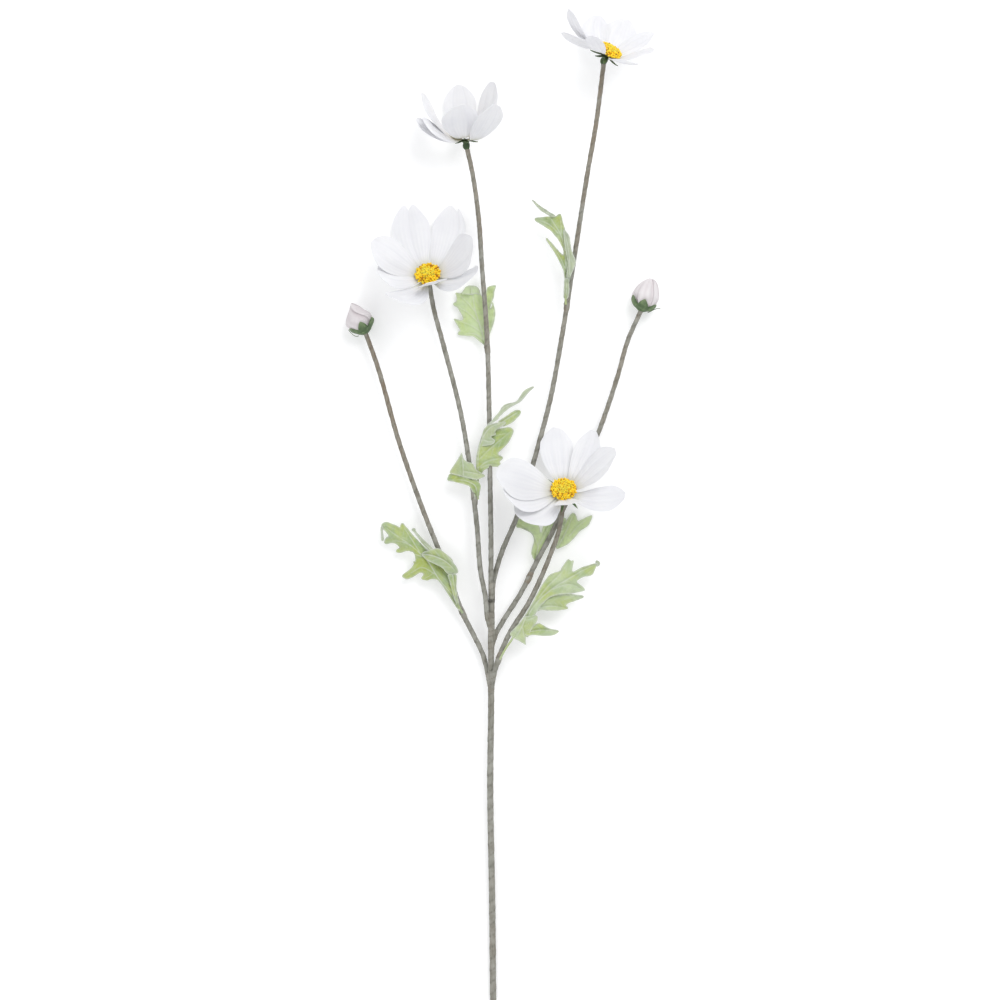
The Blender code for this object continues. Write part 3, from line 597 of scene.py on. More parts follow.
def bump(tree, shader, height, distance, strength):
    """Fine relief on a shader, its height in millimetres."""
    made = tree.nodes.new("ShaderNodeBump")
    made.inputs["Distance"].default_value = distance * MM
    made.inputs["Strength"].default_value = strength
    put(tree, made.inputs["Height"], height)
    tree.links.new(made.outputs["Normal"], shader.inputs["Normal"])


def glow(tree, shader, colour, share):
    """Let a share of the light that falls on thin cloth through to its other side."""
    through = tree.nodes.new("ShaderNodeBsdfTranslucent")
    tree.links.new(colour, through.inputs["Color"])
    blend = tree.nodes.new("ShaderNodeMixShader")
    blend.inputs["Fac"].default_value = share
    tree.links.new(shader.outputs["BSDF"], blend.inputs[1])
    tree.links.new(through.outputs["BSDF"], blend.inputs[2])
    tree.links.new(blend.outputs["Shader"], tree.nodes["Material Output"].inputs["Surface"])


def dress(tree, shader, colour, rough, specular, sheen=0.0):
    """Give a shader its colour and roughness, and its even gloss and sheen."""
    tree.links.new(colour, shader.inputs["Base Color"])
    tree.links.new(rough, shader.inputs["Roughness"])
    shader.inputs["Specular IOR Level"].default_value = specular
    shader.inputs["Sheen Weight"].default_value = sheen


def petal_fabric(name, white, shade, through, vein_pace):
    """Thin pressed fabric: cool white, veined along, greyer at its root, with painted shade in its
    creases.
    """
    material, tree, shader = new_material(name)
    along, across = attribute(tree, "along"), attribute(tree, "across")
    drift = times(tree, texture(tree, 110), 5.0)
    waved = maths(tree, "ADD", times(tree, across, vein_pace), drift)
    veins = maths(tree, "SINE", waved)
    veined = between(tree, veins, -1.0, 1.0)
    cloud = between(tree, texture(tree, 60, 4), 0.3, 0.7)
    near_root = between(tree, along, 0.85, 0.2, 0.05, 0.28)
    colour = mixed(tree, times(tree, veined, near_root), white, shade)
    # painted shade: the colour darkened towards the shade colour along the petal's creases
    crease = times(tree, attribute(tree, "crease"), 0.3)
    colour = mixed(tree, crease, colour, shade)
    colour = mixed(tree, times(tree, cloud, 0.3), colour, shade)
    root = between(tree, along, 0.30, 0.05)
    colour = mixed(tree, times(tree, root, 0.6), colour, (0.60, 0.60, 0.42))
    rough = between(tree, texture(tree, 700, 2), 0.3, 0.7, 0.62, 0.8)
    dress(tree, shader, colour, rough, specular=0.2, sheen=0.1)
    weave = times(tree, texture(tree, 2600, 1), 0.5)
    bump(tree, shader, maths(tree, "ADD", veined, weave), 0.08, 0.6)
    glow(tree, shader, colour, through)
    return material


def leaf_fabric(name, frost, light):
    """Flocked leaf fabric: yellow-green, grey-green patches, pale veins and edges, painted light
    and shade.
    """
    material, tree, shader = new_material(name)
    keys = ("vein", "edge", "crease", "under")
    vein, edge, crease, under = (attribute(tree, key) for key in keys)
    patches = between(tree, texture(tree, 85, 3, 0.4), 0.40, 0.62)
    fine = between(tree, texture(tree, 900, 3), 0.35, 0.65)
    colour = mixed(tree, patches, (0.44, 0.53, 0.085), (0.32, 0.44, 0.17))
    colour = mixed(tree, times(tree, fine, 0.3), colour, (0.49, 0.56, 0.28))
    colour = mixed(tree, times(tree, under, 0.85), colour, (0.47, 0.52, 0.41))
    veil = times(tree, between(tree, texture(tree, 60, 2), 0.35, 0.65), frost)
    colour = mixed(tree, veil, colour, (0.58, 0.66, 0.48))
    # painted light: the colour lifted towards pale green, to brighten a leaf that lies in shade
    colour = mixed(tree, light, colour, (0.76, 0.92, 0.50))
    # painted shade: a dark green band beside one side of each rib
    colour = mixed(tree, times(tree, crease, 0.5), colour, (0.21, 0.27, 0.08))
    frosted = maths(tree, "MAXIMUM", times(tree, edge, 0.85),
                    times(tree, vein, 0.9))
    worn = between(tree, texture(tree, 260, 2), 0.30, 0.5, 0.45, 1.0)
    frosted = times(tree, frosted, worn)
    colour = mixed(tree, frosted, colour, (0.68, 0.71, 0.64))
    rough = between(tree, fine, 0.0, 1.0, 0.78, 0.92)
    dress(tree, shader, colour, rough, specular=0.2, sheen=0.25)
    nerve = between(tree, texture(tree, 420, 2, 0.6), 0.35, 0.65)
    bump(tree, shader, maths(tree, "ADD", nerve, fine), 0.14, 0.8)
    glow(tree, shader, colour, 0.14)
    return material


def stem_tape():
    """Crepe paper tape: mottled grey-green, browner with age, with painted shadow where it laps.
    """
    material, tree, shader = new_material("stem_tape_finish")
    lap, brown = attribute(tree, "lap"), attribute(tree, "brown")
    mottle = between(tree, texture(tree, 170, 4, 0.3), 0.34, 0.68)
    streaks = between(tree, texture(tree, 900, 3, 0.2, (1, 0.16, 1)), 0.35, 0.68)
    colour = mixed(tree, mottle, (0.195, 0.190, 0.160), (0.315, 0.310, 0.275))
    warm = times(tree, brown, between(tree, texture(tree, 55, 3), 0.3, 0.62))
    colour = mixed(tree, times(tree, warm, 0.85), colour, (0.19, 0.135, 0.085))
    colour = mixed(tree, times(tree, streaks, 0.35), colour, (0.40, 0.41, 0.36))
    # painted shadow: dark lines along the tape's lapped edges
    colour = mixed(tree, times(tree, lap, 0.55), colour, (0.07, 0.065, 0.05))
    rough = between(tree, streaks, 0.0, 1.0, 0.6, 0.82)
    dress(tree, shader, colour, rough, specular=0.3)
    creping = texture(tree, 1500, 2, 0.0, (1, 0.4, 1))
    bump(tree, shader, maths(tree, "ADD", streaks, creping), 0.14, 0.8)
    return material


def stamen_finish():
    """Dyed stamens: from brown through orange and golden yellow to green-ochre, with painted shade
    low down.
    """
    material, tree, shader = new_material("stamen_finish")
    height, grain, spread = attribute(tree, "height"), texture(tree, 1400, 2), 0.16
    uneven = maths(tree, "SUBTRACT", times(tree, grain, spread), 0.5 * spread)
    colour = ramp(tree, maths(tree, "ADD", attribute(tree, "tint"), uneven), [
        (0.0, (0.13, 0.045, 0.005)), (0.2, (0.60, 0.24, 0.008)), (0.42, (0.94, 0.54, 0.012)),
        (0.65, (0.98, 0.74, 0.03)), (0.82, (0.84, 0.71, 0.07)), (1.0, (0.60, 0.58, 0.08))])
    # painted shade: darker brown towards the stamens' feet and on the dome, as between close
    # stamens
    shade = between(tree, height, 0.0, 0.85, 0.65, 0.0)
    colour = mixed(tree, shade, colour, (0.50, 0.30, 0.04))
    rough = between(tree, grain, 0.3, 0.7, 0.5, 0.75)
    dress(tree, shader, colour, rough, specular=0.3)
    bump(tree, shader, grain, 0.12, 0.6)
    return material


def calyx_finish(name, deep, worn_green, tip_green):
    """Moulded green, a little worn and paler on the tips."""
    material, tree, shader = new_material(name)
    worn = between(tree, texture(tree, 350, 3), 0.4, 0.7)
    colour = mixed(tree, worn, deep, worn_green)
    tip = times(tree, attribute(tree, "tip"), 0.6)
    colour = mixed(tree, tip, colour, tip_green)
    rough = between(tree, worn, 0.0, 1.0, 0.5, 0.7)
    dress(tree, shader, colour, rough, specular=0.35)
    bump(tree, shader, texture(tree, 1100, 2), 0.15, 0.7)
    return material


def floor_finish():
    """The white acrylic of a light table, lit a little from below."""
    material, tree, shader = new_material("floor_finish")
    cloud = between(tree, texture(tree, 3, 2), 0.3, 0.7)
    colour = mixed(tree, cloud, (0.80, 0.80, 0.80), (0.82, 0.82, 0.82))
    tree.links.new(colour, shader.inputs["Base Color"])
    shader.inputs["Roughness"].default_value = 0.9
    shader.inputs["Emission Color"].default_value = (1.0, 1.0, 1.0, 1.0)
    shader.inputs["Emission Strength"].default_value = FLOOR_GLOW
    return material


PETAL = petal_fabric("petal_fabric_finish", (0.92, 0.92, 0.93), (0.79, 0.79, 0.83), 0.28, 30.0)
BUD = petal_fabric("bud_fabric_finish", (0.80, 0.77, 0.775), (0.56, 0.48, 0.50), 0.10, 9.0)
TAPE = stem_tape()
STAMENS = stamen_finish()
GREEN = calyx_finish("calyx_finish", (0.030, 0.062, 0.022), (0.075, 0.120, 0.045),
                     (0.12, 0.19, 0.07))
CUP = calyx_finish("cup_finish", (0.065, 0.115, 0.045), (0.17, 0.245, 0.115),
                   (0.24, 0.31, 0.17))


# ---------------------------------------------------------------- stems
def facing_axes(facing):
    """Rows: the X, Y and Z axes of a head or bud that faces a given way."""
    z_axis = unit(np.array(facing, float))
    x_axis = unit(np.array([1.0, 0.0, 0.0]) - z_axis[0] * z_axis)
    return np.array([x_axis, np.cross(z_axis, x_axis), z_axis])


def route_to_seat(label):
    """A branch's route, from inside the stem to the knob or the bud it carries."""
    route = list(BRANCH_ROUTES[label])
    if label in HEADS:
        head = HEADS[label]
        seat = np.array(head["centre"]) - unit(np.array(head["facing"])) * KNOB_DEPTH
    else:
        seat = np.array(BUDS[label]["base"])
    return [stem_at(route[0][1] - BRANCH_BURIED), *route, tuple(seat)]


def stem_at(y):
    """The point of the stem's axis at a distance along the spray."""
    knots = np.array(STEM_ROUTE)
    return tuple(np.interp(y, knots[:, 1], knots[:, k]) for k in range(3))


def tube(points, radii, seed, lap_size=TAPE_EDGE):
    """A taped tube along points: the tape's laps run round it as a helix.

    Returns its points and faces, how deep in a lap's shadow each point is, and its place
    along the tube, from 0 to 1.
    """
    tangents = unit(np.gradient(points, axis=0))
    side = unit(np.cross(tangents[0], [0.0, 0.0, 1.0]))
    sides = []
    for tangent in tangents:
        side = unit(side - tangent * np.dot(side, tangent))
        sides.append(side)
    sides = np.array(sides)
    ups = np.cross(sides, tangents)
    lengths = np.concatenate([[0], np.cumsum(np.linalg.norm(np.diff(points, axis=0), axis=1))])
    turn = circle(STEM_SIDES)
    phase = (lengths[:, None] / TAPE_PITCH + turn / (2 * math.pi)) % 1.0
    rough = waves(seed, 6, 9.0)(lengths[:, None], 4.0 * np.sin(turn))
    spread = radii[:, None] + lap_size * (0.5 - phase) * 2 + 0.05 * rough
    wide, tall = np.cos(turn) * spread, np.sin(turn) * spread
    rings = points[:, None] + sides[:, None] * wide[..., None] + ups[:, None] * tall[..., None]
    body = rings.reshape(-1, 3)
    rows = len(points)
    faces = grid_faces(rows, STEM_SIDES, wrap=True)[:, ::-1].tolist()
    faces += fan(len(body), 0, STEM_SIDES)
    faces += fan(len(body) + 1, (rows - 1) * STEM_SIDES, STEM_SIDES, flip=True)
    lap = np.exp(-((1 - phase) / 0.09) ** 2) + 0.4 * np.exp(-(phase / 0.05) ** 2)
    lap = np.concatenate([lap.ravel(), [0, 0]])
    share = np.concatenate([np.repeat(lengths / lengths[-1], STEM_SIDES), [0, 1]])
    return np.vstack([body, points[:1], points[-1:]]), faces, lap, share


def make_stem():
    """The main stem, cut off at its foot and rounded where its last branches leave it."""
    points = smooth_route(STEM_ROUTE, STEM_STEP)
    radii = np.linspace(*STEM_RADIUS, len(points))
    radii[-len(STEM_END):] *= STEM_END
    body, faces, lap, share = tube(points, radii, "stem")
    brown = 0.15 + 0.1 * np.sin(9 * share)
    add_piece("stem_taped", body, faces, TAPE, "stem_tape", ["stem"], lap=lap, brown=brown)


def make_branch(label):
    """A taped branch, browner towards its top."""
    points = smooth_route(route_to_seat(label), STEM_STEP)
    radii = np.linspace(*BRANCH_RADIUS, len(points))
    body, faces, lap, share = tube(points, radii, "branch" + label)
    brown = BRANCH_BROWN[label] * np.clip(share * 1.6 - 0.35, 0.08, 1)
    add_piece("branch_" + label + "_taped", body, faces, TAPE, "stem_tape",
              ["branch_" + label], lap=lap, brown=brown)


def make_joint(label):
    """Tape bound round the stem and the foot of a branch, as far as they lie together."""
    sides, below, above, step, pitch, searched = 28, 10.0, 3.5, 0.5, 4.0, 60.0
    route = smooth_route(route_to_seat(label), step)[:round(searched / step)]
    foot = BRANCH_ROUTES[label][0][1]
    turn = circle(sides)
    ways = np.stack([np.cos(turn), np.zeros(sides), np.sin(turn)], axis=-1)
    levels = np.arange(foot - below, foot + above, step)
    rings, laps = [], []
    for y in levels:
        share = (y - levels[0]) / (levels[-1] - levels[0])
        ease = math.sqrt(math.sin(math.pi * min(0.05 + share, 1)))
        stem = np.array([stem_at(y)[0], y, stem_at(y)[2]])
        branch = route[np.argmin(np.abs(route[:, 1] - y))] * (1, 0, 1) + (0, y, 0)
        phase = ((y - foot) / pitch + turn / (2 * math.pi)) % 1.0
        proud = 0.04 + 0.12 * ease + 0.12 * (0.5 - phase) * ease
        stem_edge = stem + ways * (STEM_RADIUS[1] + proud)[:, None]
        branch_edge = branch + ways * (BRANCH_RADIUS[0] + proud)[:, None]
        further = ((branch_edge - stem_edge) * ways).sum(1) > 0
        rings.append(np.where(further[:, None], branch_edge, stem_edge))
        # where the joint's lapped tape edges take their painted shadow
        laps.append(np.exp(-((1 - phase) / 0.10) ** 2))
    body = np.vstack(rings)
    faces = grid_faces(len(levels), sides, wrap=True).tolist()
    last = (len(levels) - 1) * sides
    faces.append(list(range(sides)))
    faces.append([last + k for k in range(sides)][::-1])
    add_piece("joint_" + label + "_tape", body, faces, TAPE, "stem_tape",
              lap=np.concatenate(laps), brown=np.full(len(body), 0.35))


def make_leaf_knot(label):
    """The lump of tape that binds a leaf's stalk to its branch."""
    reach, radius, swell, lean = 4, 1.6, 0.42, 0.35
    route = smooth_route(route_to_seat(label), 1.0)
    root = np.array(LEAF_STALKS[label][0], float)
    at = int(np.argmin(np.linalg.norm(route - root, axis=1)))
    span = route[max(at - reach, 0):at + reach + 1]
    t = np.linspace(0, 1, len(span))
    points = span + lean * unit(root - route[at]) * np.sin(math.pi * t)[:, None]
    radii = radius + swell * np.sin(math.pi * t) ** 0.7
    body, faces, lap, _ = tube(points, radii, "knot" + label, 0.16)
    add_piece("leaf_" + label + "_knot", body, faces, TAPE, "stem_tape",
              lap=lap, brown=np.full(len(body), 0.8))


# ---------------------------------------------------------------- flower heads
def petal_half_width(share, width):
    """Half width along a petal: a narrow claw, widest past the middle, round tip."""
    claw, widest, tip = 0.12, 0.66, 0.50
    grown = np.sin(0.5 * math.pi * np.clip(share / widest, 0, 1)) ** 1.2
    fall = np.cos(0.5 * math.pi * np.clip((share - widest) / (1 - widest), 0, 1))
    return 0.5 * width * np.where(share < widest, claw + (1 - claw) * grown,
                                  tip + (1 - tip) * fall)


def petal_places(split, rng):
    """Where a petal's points lie across it, -1 to 1, and along it, 0 at its root."""
    v, a = strip(PETAL_ROWS, PETAL_COLUMNS)
    depth, place = split
    a = a + place * (1 - a * a) * np.clip(depth * 30, 0, 1)
    lobe = np.where(a < place, (a + 1) / (place + 1), (1 - a) / (1 - place))
    uneven = 0.008 * np.sin(a * rng.uniform(5, 8) + rng.uniform(0, 6)) * (1 - a * a)
    cut = (0.09 - 0.8 * depth) * np.abs(a) ** 2.2 + 0.13 * np.abs(a) ** 7 + uneven
    cut += depth * np.abs(2 * lobe - 1) ** 2.2
    return a, v * (1 - cut * v ** 3)


def petal_spine(length, lift, tip_lift, roll, layer, sweep):
    """Places on a petal's middle line, its points there, and the ways across and up."""
    s = np.linspace(0, 1, SPINE_POINTS)
    rise = np.clip(s / PETAL_FLAT - 0.5, 0, 1)
    slope = np.radians(rise * (lift + (tip_lift - lift) * s))
    heading = np.radians(sweep) * s
    step = length / (SPINE_POINTS - 1)
    ahead = np.stack([np.cos(slope) * np.cos(heading), np.cos(slope) * np.sin(heading),
                      np.sin(slope)], axis=-1)
    spine = np.vstack([[0, 0, 0], np.cumsum(ahead[:-1] * step, axis=0)])
    spine += (PETAL_ROOT, 0.0, LAYER_TOP - LAYER_PITCH * layer)
    level = np.stack([-np.sin(heading), np.cos(heading), np.zeros(SPINE_POINTS)], axis=-1)
    upright = np.cross(ahead, level)
    turn = (np.radians(roll) * np.clip(s / PETAL_FLAT / 2, 0, 1))[:, None]
    side = np.cos(turn) * level + np.sin(turn) * upright
    normal = np.cos(turn) * upright - np.sin(turn) * level
    return s, spine, side, normal


def petal_relief(a, along, width, layer, split, pleat, seed, rng):
    """How far a petal's points stand off its plane, and how near a crease they are."""
    depth, place = split
    if depth > 0.005:
        creases = [-1.0, place, 1.0]
    else:
        creases = [-1.0, -0.36 + rng.uniform(-0.1, 0.08), 0.34 + rng.uniform(-0.08, 0.1), 1.0]
    panel = np.clip(np.searchsorted(creases, a, side="right") - 1, 0, len(creases) - 2)
    low, high = np.array(creases)[panel], np.array(creases)[panel + 1]
    fold = np.sin(math.pi * (a - low) / (high - low))
    strength = np.sin(math.pi * np.clip(along, 0, 1) ** 0.7) ** 0.8
    camber = 0.05 - 0.02 * layer
    height = camber * width * a ** 2 * along ** 0.7
    height += pleat * (strength + 0.35 * along) * (fold - 0.6)
    nerves = np.sin(2 * math.pi * 3.6 * a + rng.uniform(0, 6)) * np.clip(1.1 - along, 0, 1)
    height += 0.06 * nerves * np.sqrt(along)
    ripple = waves(seed + "ripple", 5, 1.3)(along, a)
    height += 0.4 * ripple * along ** 1.5 * (0.25 + 0.75 * np.abs(a) ** 2)
    edge_wave = np.sin(2 * math.pi * 1.3 * along + np.where(a > 0, 0.0, 2.3) + rng.uniform(0, 6))
    height += 0.4 * edge_wave * np.abs(a) ** 3 * along ** 2
    # where the petal's creases take painted shade in petal_fabric()
    crease = sum(np.exp(-((a - c) / 0.06) ** 2) for c in creases[1:-1]) * strength
    return height, np.clip(crease, 0, 1)


def petal_sheet(length, width, lift, tip_lift, roll, layer, seed, split=(0.0, 0.0),
                sweep=0.0, pleat=0.4):
    """A petal's sheet pointing along +X, upper side up, with its creases."""
    rng = random.Random(seed)
    a, along = petal_places(split, rng)
    s, spine, side, normal = petal_spine(length, lift, tip_lift, roll, layer, sweep)
    height, crease = petal_relief(a, along, width, layer, split, pleat, seed, rng)

    def on_spine(values):
        return np.stack([np.interp(along, s, values[:, k]) for k in range(3)], axis=-1)

    points = (on_spine(spine) + on_spine(side) * (petal_half_width(along, width) * a)[..., None]
              + on_spine(normal) * height[..., None])
    facts = dict(along=along.ravel(), across=a.ravel(), crease=crease.ravel())
    return points.reshape(-1, 3), grid_faces(PETAL_ROWS, PETAL_COLUMNS), facts


def make_petal(name, number, centre, axes, spec):
    """One petal of a head, as its row in HEADS says."""
    angle, length, width, lift, tip_lift, roll, layer, extra = spec
    label = f"{name}_petal_{number}"
    points, faces, facts = petal_sheet(length, width, lift, tip_lift, roll, layer, label, **extra)
    points = spun(points, math.radians(angle)) @ axes + centre
    body, faces, _ = solid_sheet(points, faces, PETAL_THICKNESS)
    facts = {key: np.tile(values, 2) for key, values in facts.items()}
    add_piece(label + "_fabric", body, faces, PETAL, "petal_fabric", [label], **facts)


def rod(foot, lean, length, radius, tint):
    """One stamen: a stalk that swells into a rounded tip."""
    sides = 7
    axes = facing_axes(lean)
    profile = ((0.0, 0.55), (0.45, 0.65), (0.62, 1.0), (0.82, 0.98), (0.95, 0.6))
    rings = [round_points(circle(sides), radius * r, h * length) for h, r in profile]
    local = np.vstack([*rings, [[0, 0, length]]])
    faces = grid_faces(len(profile), sides, wrap=True)[:, ::-1].tolist()
    top = len(local) - 1
    faces += fan(top, top - sides, sides)
    # height along the stamen sets its painted shade, darkest at its foot
    height = np.append(np.repeat([h for h, _ in profile], sides), 1.0)
    facts = dict(height=height, tint=np.full(len(local), tint))
    return local @ axes + foot, faces, facts


def disc_dome():
    """The dome that a disc's stamens stand on."""
    sides, rings = 28, 7
    rows = []
    for t in np.linspace(0, 1, rings):
        radius = 0.86 * DISC_RADIUS * math.cos(0.5 * math.pi * t * 0.97)
        rows.append(round_points(circle(sides), radius, DOME_HEIGHT * math.sin(0.5 * math.pi * t)))
    dome = np.vstack([*rows, [[0, 0, 0]]])
    faces = grid_faces(rings, sides, wrap=True)[:, ::-1].tolist()
    faces += fan(len(dome) - 1, 0, sides, flip=True)
    faces.append([(rings - 1) * sides + k for k in range(sides)])
    # the dome's height of 0.35 gives it the stamens' painted shade
    return dome, faces, dict(height=np.full(len(dome), 0.35), tint=np.full(len(dome), 0.95))


def make_disc(name, centre, axes):
    """A tuft of stamens on a dome: long golden ones round short green-ochre ones."""
    rng = random.Random(name)
    parts = [disc_dome()]
    golden = math.pi * (3 - math.sqrt(5))
    for k in range(STAMEN_COUNT):
        share = math.sqrt((k + 0.5) / STAMEN_COUNT)
        angle = golden * k + rng.uniform(-0.15, 0.15)
        radius = DISC_RADIUS * 0.90 * share
        outward = np.array([math.cos(angle), math.sin(angle), 0.0])
        foot = outward * radius * 0.94
        foot[2] = DOME_HEIGHT * math.cos(0.5 * math.pi * share) ** 0.8 - 0.3
        lean = outward * (0.15 + 0.95 * share ** 2) + (0, 0, 1.0)
        lean = lean + (rng.uniform(-0.25, 0.25), rng.uniform(-0.25, 0.25), 0.0)
        if share > GOLDEN_FROM:
            length, size = rng.uniform(1.6, 2.9), rng.uniform(0.48, 0.70)
            tint = rng.choice(GOLDEN_TINTS)
        else:
            length, size = rng.uniform(1.3, 2.0), rng.uniform(0.40, 0.56)
            tint = rng.choice(GREEN_TINTS)
        parts.append(rod(foot, lean, length, size, tint))
    points, faces, facts = joined(parts)
    add_piece(name + "_stamens", points @ axes + centre, faces, STAMENS, "flower_disc",
              [name + "_disc"], **facts)


def sepal(length, half_width, droop, seed):
    """A narrow pointed sheet along +X that droops and curls."""
    rng = random.Random(seed)
    rows, columns = 16, 7
    v, a = strip(rows, columns)
    half = half_width * (0.65 + 0.9 * v) * (1 - v) ** 0.75 + 0.06
    bend = rng.uniform(-1.2, 1.2)
    x = SEPAL_ROOT + v * length
    y = half * a + bend * v ** 2
    z = -droop * np.sin(0.5 * math.pi * v) + rng.uniform(0.2, 1.4) * v ** 3
    z = z + 0.35 * np.abs(a) * (1 - v)
    return np.stack([x, y, z], axis=-1).reshape(-1, 3), grid_faces(rows, columns), v.ravel()


def calyx_knob(top):
    """The knob behind a head, from the branch's end up to the sepals at the top."""
    profile = [(0.9, -KNOB_DEPTH - 2.6), (1.7, -KNOB_DEPTH - 2.1), (2.25, -KNOB_DEPTH - 1.0),
               (2.35, -KNOB_DEPTH + 0.4), (2.0, -KNOB_DEPTH + 1.6), (2.1, -KNOB_DEPTH + 2.4),
               (3.0, top - 0.5), (3.3, top), (2.4, top + 0.35)]
    turn = circle(KNOB_SIDES)
    rings = []
    for radius, height in profile:
        uneven = radius * (1 + 0.05 * np.sin(3 * turn + height) + 0.03 * np.sin(7 * turn))
        rings.append(round_points(turn, uneven, height))
    knob = np.vstack(rings)
    faces = grid_faces(len(profile), KNOB_SIDES, wrap=True)[:, ::-1].tolist()
    faces.append(list(range(KNOB_SIDES))[::-1])
    faces.append([(len(profile) - 1) * KNOB_SIDES + k for k in range(KNOB_SIDES)])
    return knob, faces, dict(tip=np.zeros(len(knob)))


def make_calyx(name, centre, axes):
    """Sepals round a knob, under the petals."""
    rng = random.Random(name + "calyx")
    top = LAYER_TOP - 3 * LAYER_PITCH - 0.7
    parts = []
    for k in range(SEPAL_COUNT):
        length = SEPAL_REACH[name] - SEPAL_ROOT + rng.uniform(-1.2, 0.8)
        points, faces, along = sepal(length, 1.35, rng.uniform(0.3, 1.1), f"{name}{k}")
        body, faces, _ = solid_sheet(points, faces, SEPAL_THICKNESS)
        turn = 2 * math.pi * (k + rng.uniform(-0.12, 0.12)) / SEPAL_COUNT
        parts.append((spun(body, turn) + (0, 0, top), faces, dict(tip=np.tile(along, 2))))
    parts.append(calyx_knob(top))
    points, faces, facts = joined(parts)
    add_piece(name + "_sepals", points @ axes + centre, faces, GREEN, "calyx_green",
              [name + "_calyx"], **facts)


def make_head(name, head):
    """An open flower: its petals, its disc and its calyx."""
    centre, axes = np.array(head["centre"]), facing_axes(head["facing"])
    for number, spec in enumerate(head["petals"], start=1):
        make_petal(name, number, centre, axes, spec)
    make_disc(name, centre, axes)
    make_calyx(name, centre, axes)


# ---------------------------------------------------------------- buds
def bud_radius(bud, share):
    """A bud's radius at a share of its length, before its folds."""
    belly = np.sin(math.pi * np.clip(share, 0.001, 0.999) ** 0.8) ** bud["blunt"]
    return bud["radius"] * belly * (1 + (bud["point"] - 1) * np.clip(share - 0.45, 0, 1) / 0.55)


def make_bud(name, bud):
    """Petals wrapped round each other, their free edges lapping, in a lobed cup."""
    base = np.array(bud["base"])
    axes = facing_axes(np.array(bud["tip"]) - base)
    seat = BUD_CUP_WALL + 0.3
    rows, per_petal = 60, 32
    sides = bud["petals"] * per_petal
    wrapped = np.tile(np.linspace(0.0, 1.0, per_petal), bud["petals"])
    number = np.repeat(np.arange(bud["petals"]), per_petal)
    step = (number + 0.004 + 0.992 * wrapped) / bud["petals"]
    share, around = np.meshgrid(np.linspace(0.03, 0.985, rows), step, indexing="ij")
    wrapped = np.broadcast_to(wrapped, share.shape)
    turn = 2 * math.pi * (around + bud["twist"] * share) + math.radians(bud["turn"])
    lapped = 1.0 - wrapped
    rib = np.sin(2 * math.pi * bud["folds"] * wrapped)
    uneven = waves(name, 6, 1.6)(turn, share * 4)
    # each petal's free edge stands 1.3 mm proud of the petal that it laps over
    proud = 1.3 * lapped ** 1.5 + bud["fold_depth"] * rib + 0.22 * uneven
    radius = bud_radius(bud, share) - 0.5 + np.sin(math.pi * share) ** 0.5 * proud
    height = seat + share * (bud["length"] - seat) + 0.9 * (lapped - 0.5) * share ** 6
    body = round_points(turn, radius, height).reshape(-1, 3)
    faces = grid_faces(rows, sides, wrap=True)[:, ::-1].tolist()
    faces += fan(len(body), 0, sides, flip=True)
    faces += fan(len(body) + 1, (rows - 1) * sides, sides)
    body = np.vstack([body, [[0, 0, seat + 0.3]], [[0, 0, bud["length"] - 0.15]]])
    # painted shadow under each lapping petal edge and painted shade in the folds, carried as
    # crease
    edge = 0.8 * np.exp(-(lapped / 0.12) ** 2) + 0.5 * np.clip(-rib, 0, 1)
    add_piece(name + "_wrapped", body @ axes + base, faces, BUD, "bud_fabric",
              [name + "_petals"], along=np.append(0.35 + 0.65 * share.ravel(), [0.4, 1.0]),
              across=np.append((wrapped * 2 - 1).ravel(), [0, 0]),
              crease=np.append(np.clip(edge, 0, 1).ravel(), [0, 0]))
    make_cup(name, bud, base, axes)


def stray_sepal(bud):
    """A thin sepal that stands off the cup and curls outwards."""
    rows, columns = 18, 5
    v, a = strip(rows, columns)
    spread = bud["spread"]
    out = bud["radius"] * 0.55 + 4.5 * v ** (0.35 + 0.35 * spread) + 2.6 * spread * v ** 4
    half = 0.75 * (1 - v) ** 0.6 + 0.08
    height = 0.6 + (6.6 - 1.4 * spread) * v
    turn = math.radians(bud["stray"])
    x = math.cos(turn) * out - math.sin(turn) * half * a
    y = math.sin(turn) * out + math.cos(turn) * half * a
    points = np.stack([x, y, height], axis=-1).reshape(-1, 3)
    body, faces, _ = solid_sheet(points, grid_faces(rows, columns), SEPAL_THICKNESS)
    return body, faces, dict(tip=np.zeros(len(body)))


def make_cup(name, bud, base, axes):
    """The green cup: lobes that follow the bud, their tips standing off it."""
    rng = random.Random(name + "cup")
    rows, sides = 18, 140
    t, turn = np.meshgrid(np.linspace(0, 1, rows), circle(sides), indexing="ij")
    lobes = bud["lobes"]
    place = turn / (2 * math.pi) * lobes
    number = np.floor(place).astype(int) % lobes
    tall = np.array([rng.uniform(0.78, 1.12) for _ in range(lobes)])[number]
    flare = np.array([rng.uniform(0.3, 2.2) for _ in range(lobes)])[number]
    within = np.abs(place % 1.0 - 0.5) * 2
    rim = 3.4 + (BUD_CUP_HEIGHT - 1.6) * tall * (1 - within ** 1.15)
    height = t * rim
    share = np.clip((height - 0.9) / (bud["length"] - 0.9), 0.0, 1)
    out = np.maximum(bud_radius(bud, share) + 0.75, 1.8 + 2.6 * np.sqrt(height / 1.5))
    out = np.where(height < 1.5, 1.8 + (out - 1.8) * np.sqrt(np.clip(height / 1.5, 0, 1)), out)
    out = out + flare * np.clip(t - 0.55, 0, 1) ** 1.6 * (1 - within) * 1.6
    out = out + 0.15 * np.cos(math.pi * within) * t
    points = round_points(turn, out, height).reshape(-1, 3)
    faces = grid_faces(rows, sides, wrap=True)[:, ::-1]
    body, faces, _ = solid_sheet(points, faces, CUP_THICKNESS)
    tip = np.tile((t * (1 - within)).ravel() ** 2, 2)
    parts = [(body, faces, dict(tip=tip)), stray_sepal(bud)]
    body, faces, facts = joined(parts)
    add_piece(name + "_cup", body @ axes + base, faces, CUP, "calyx_green",
              [name + "_calyx"], **facts)


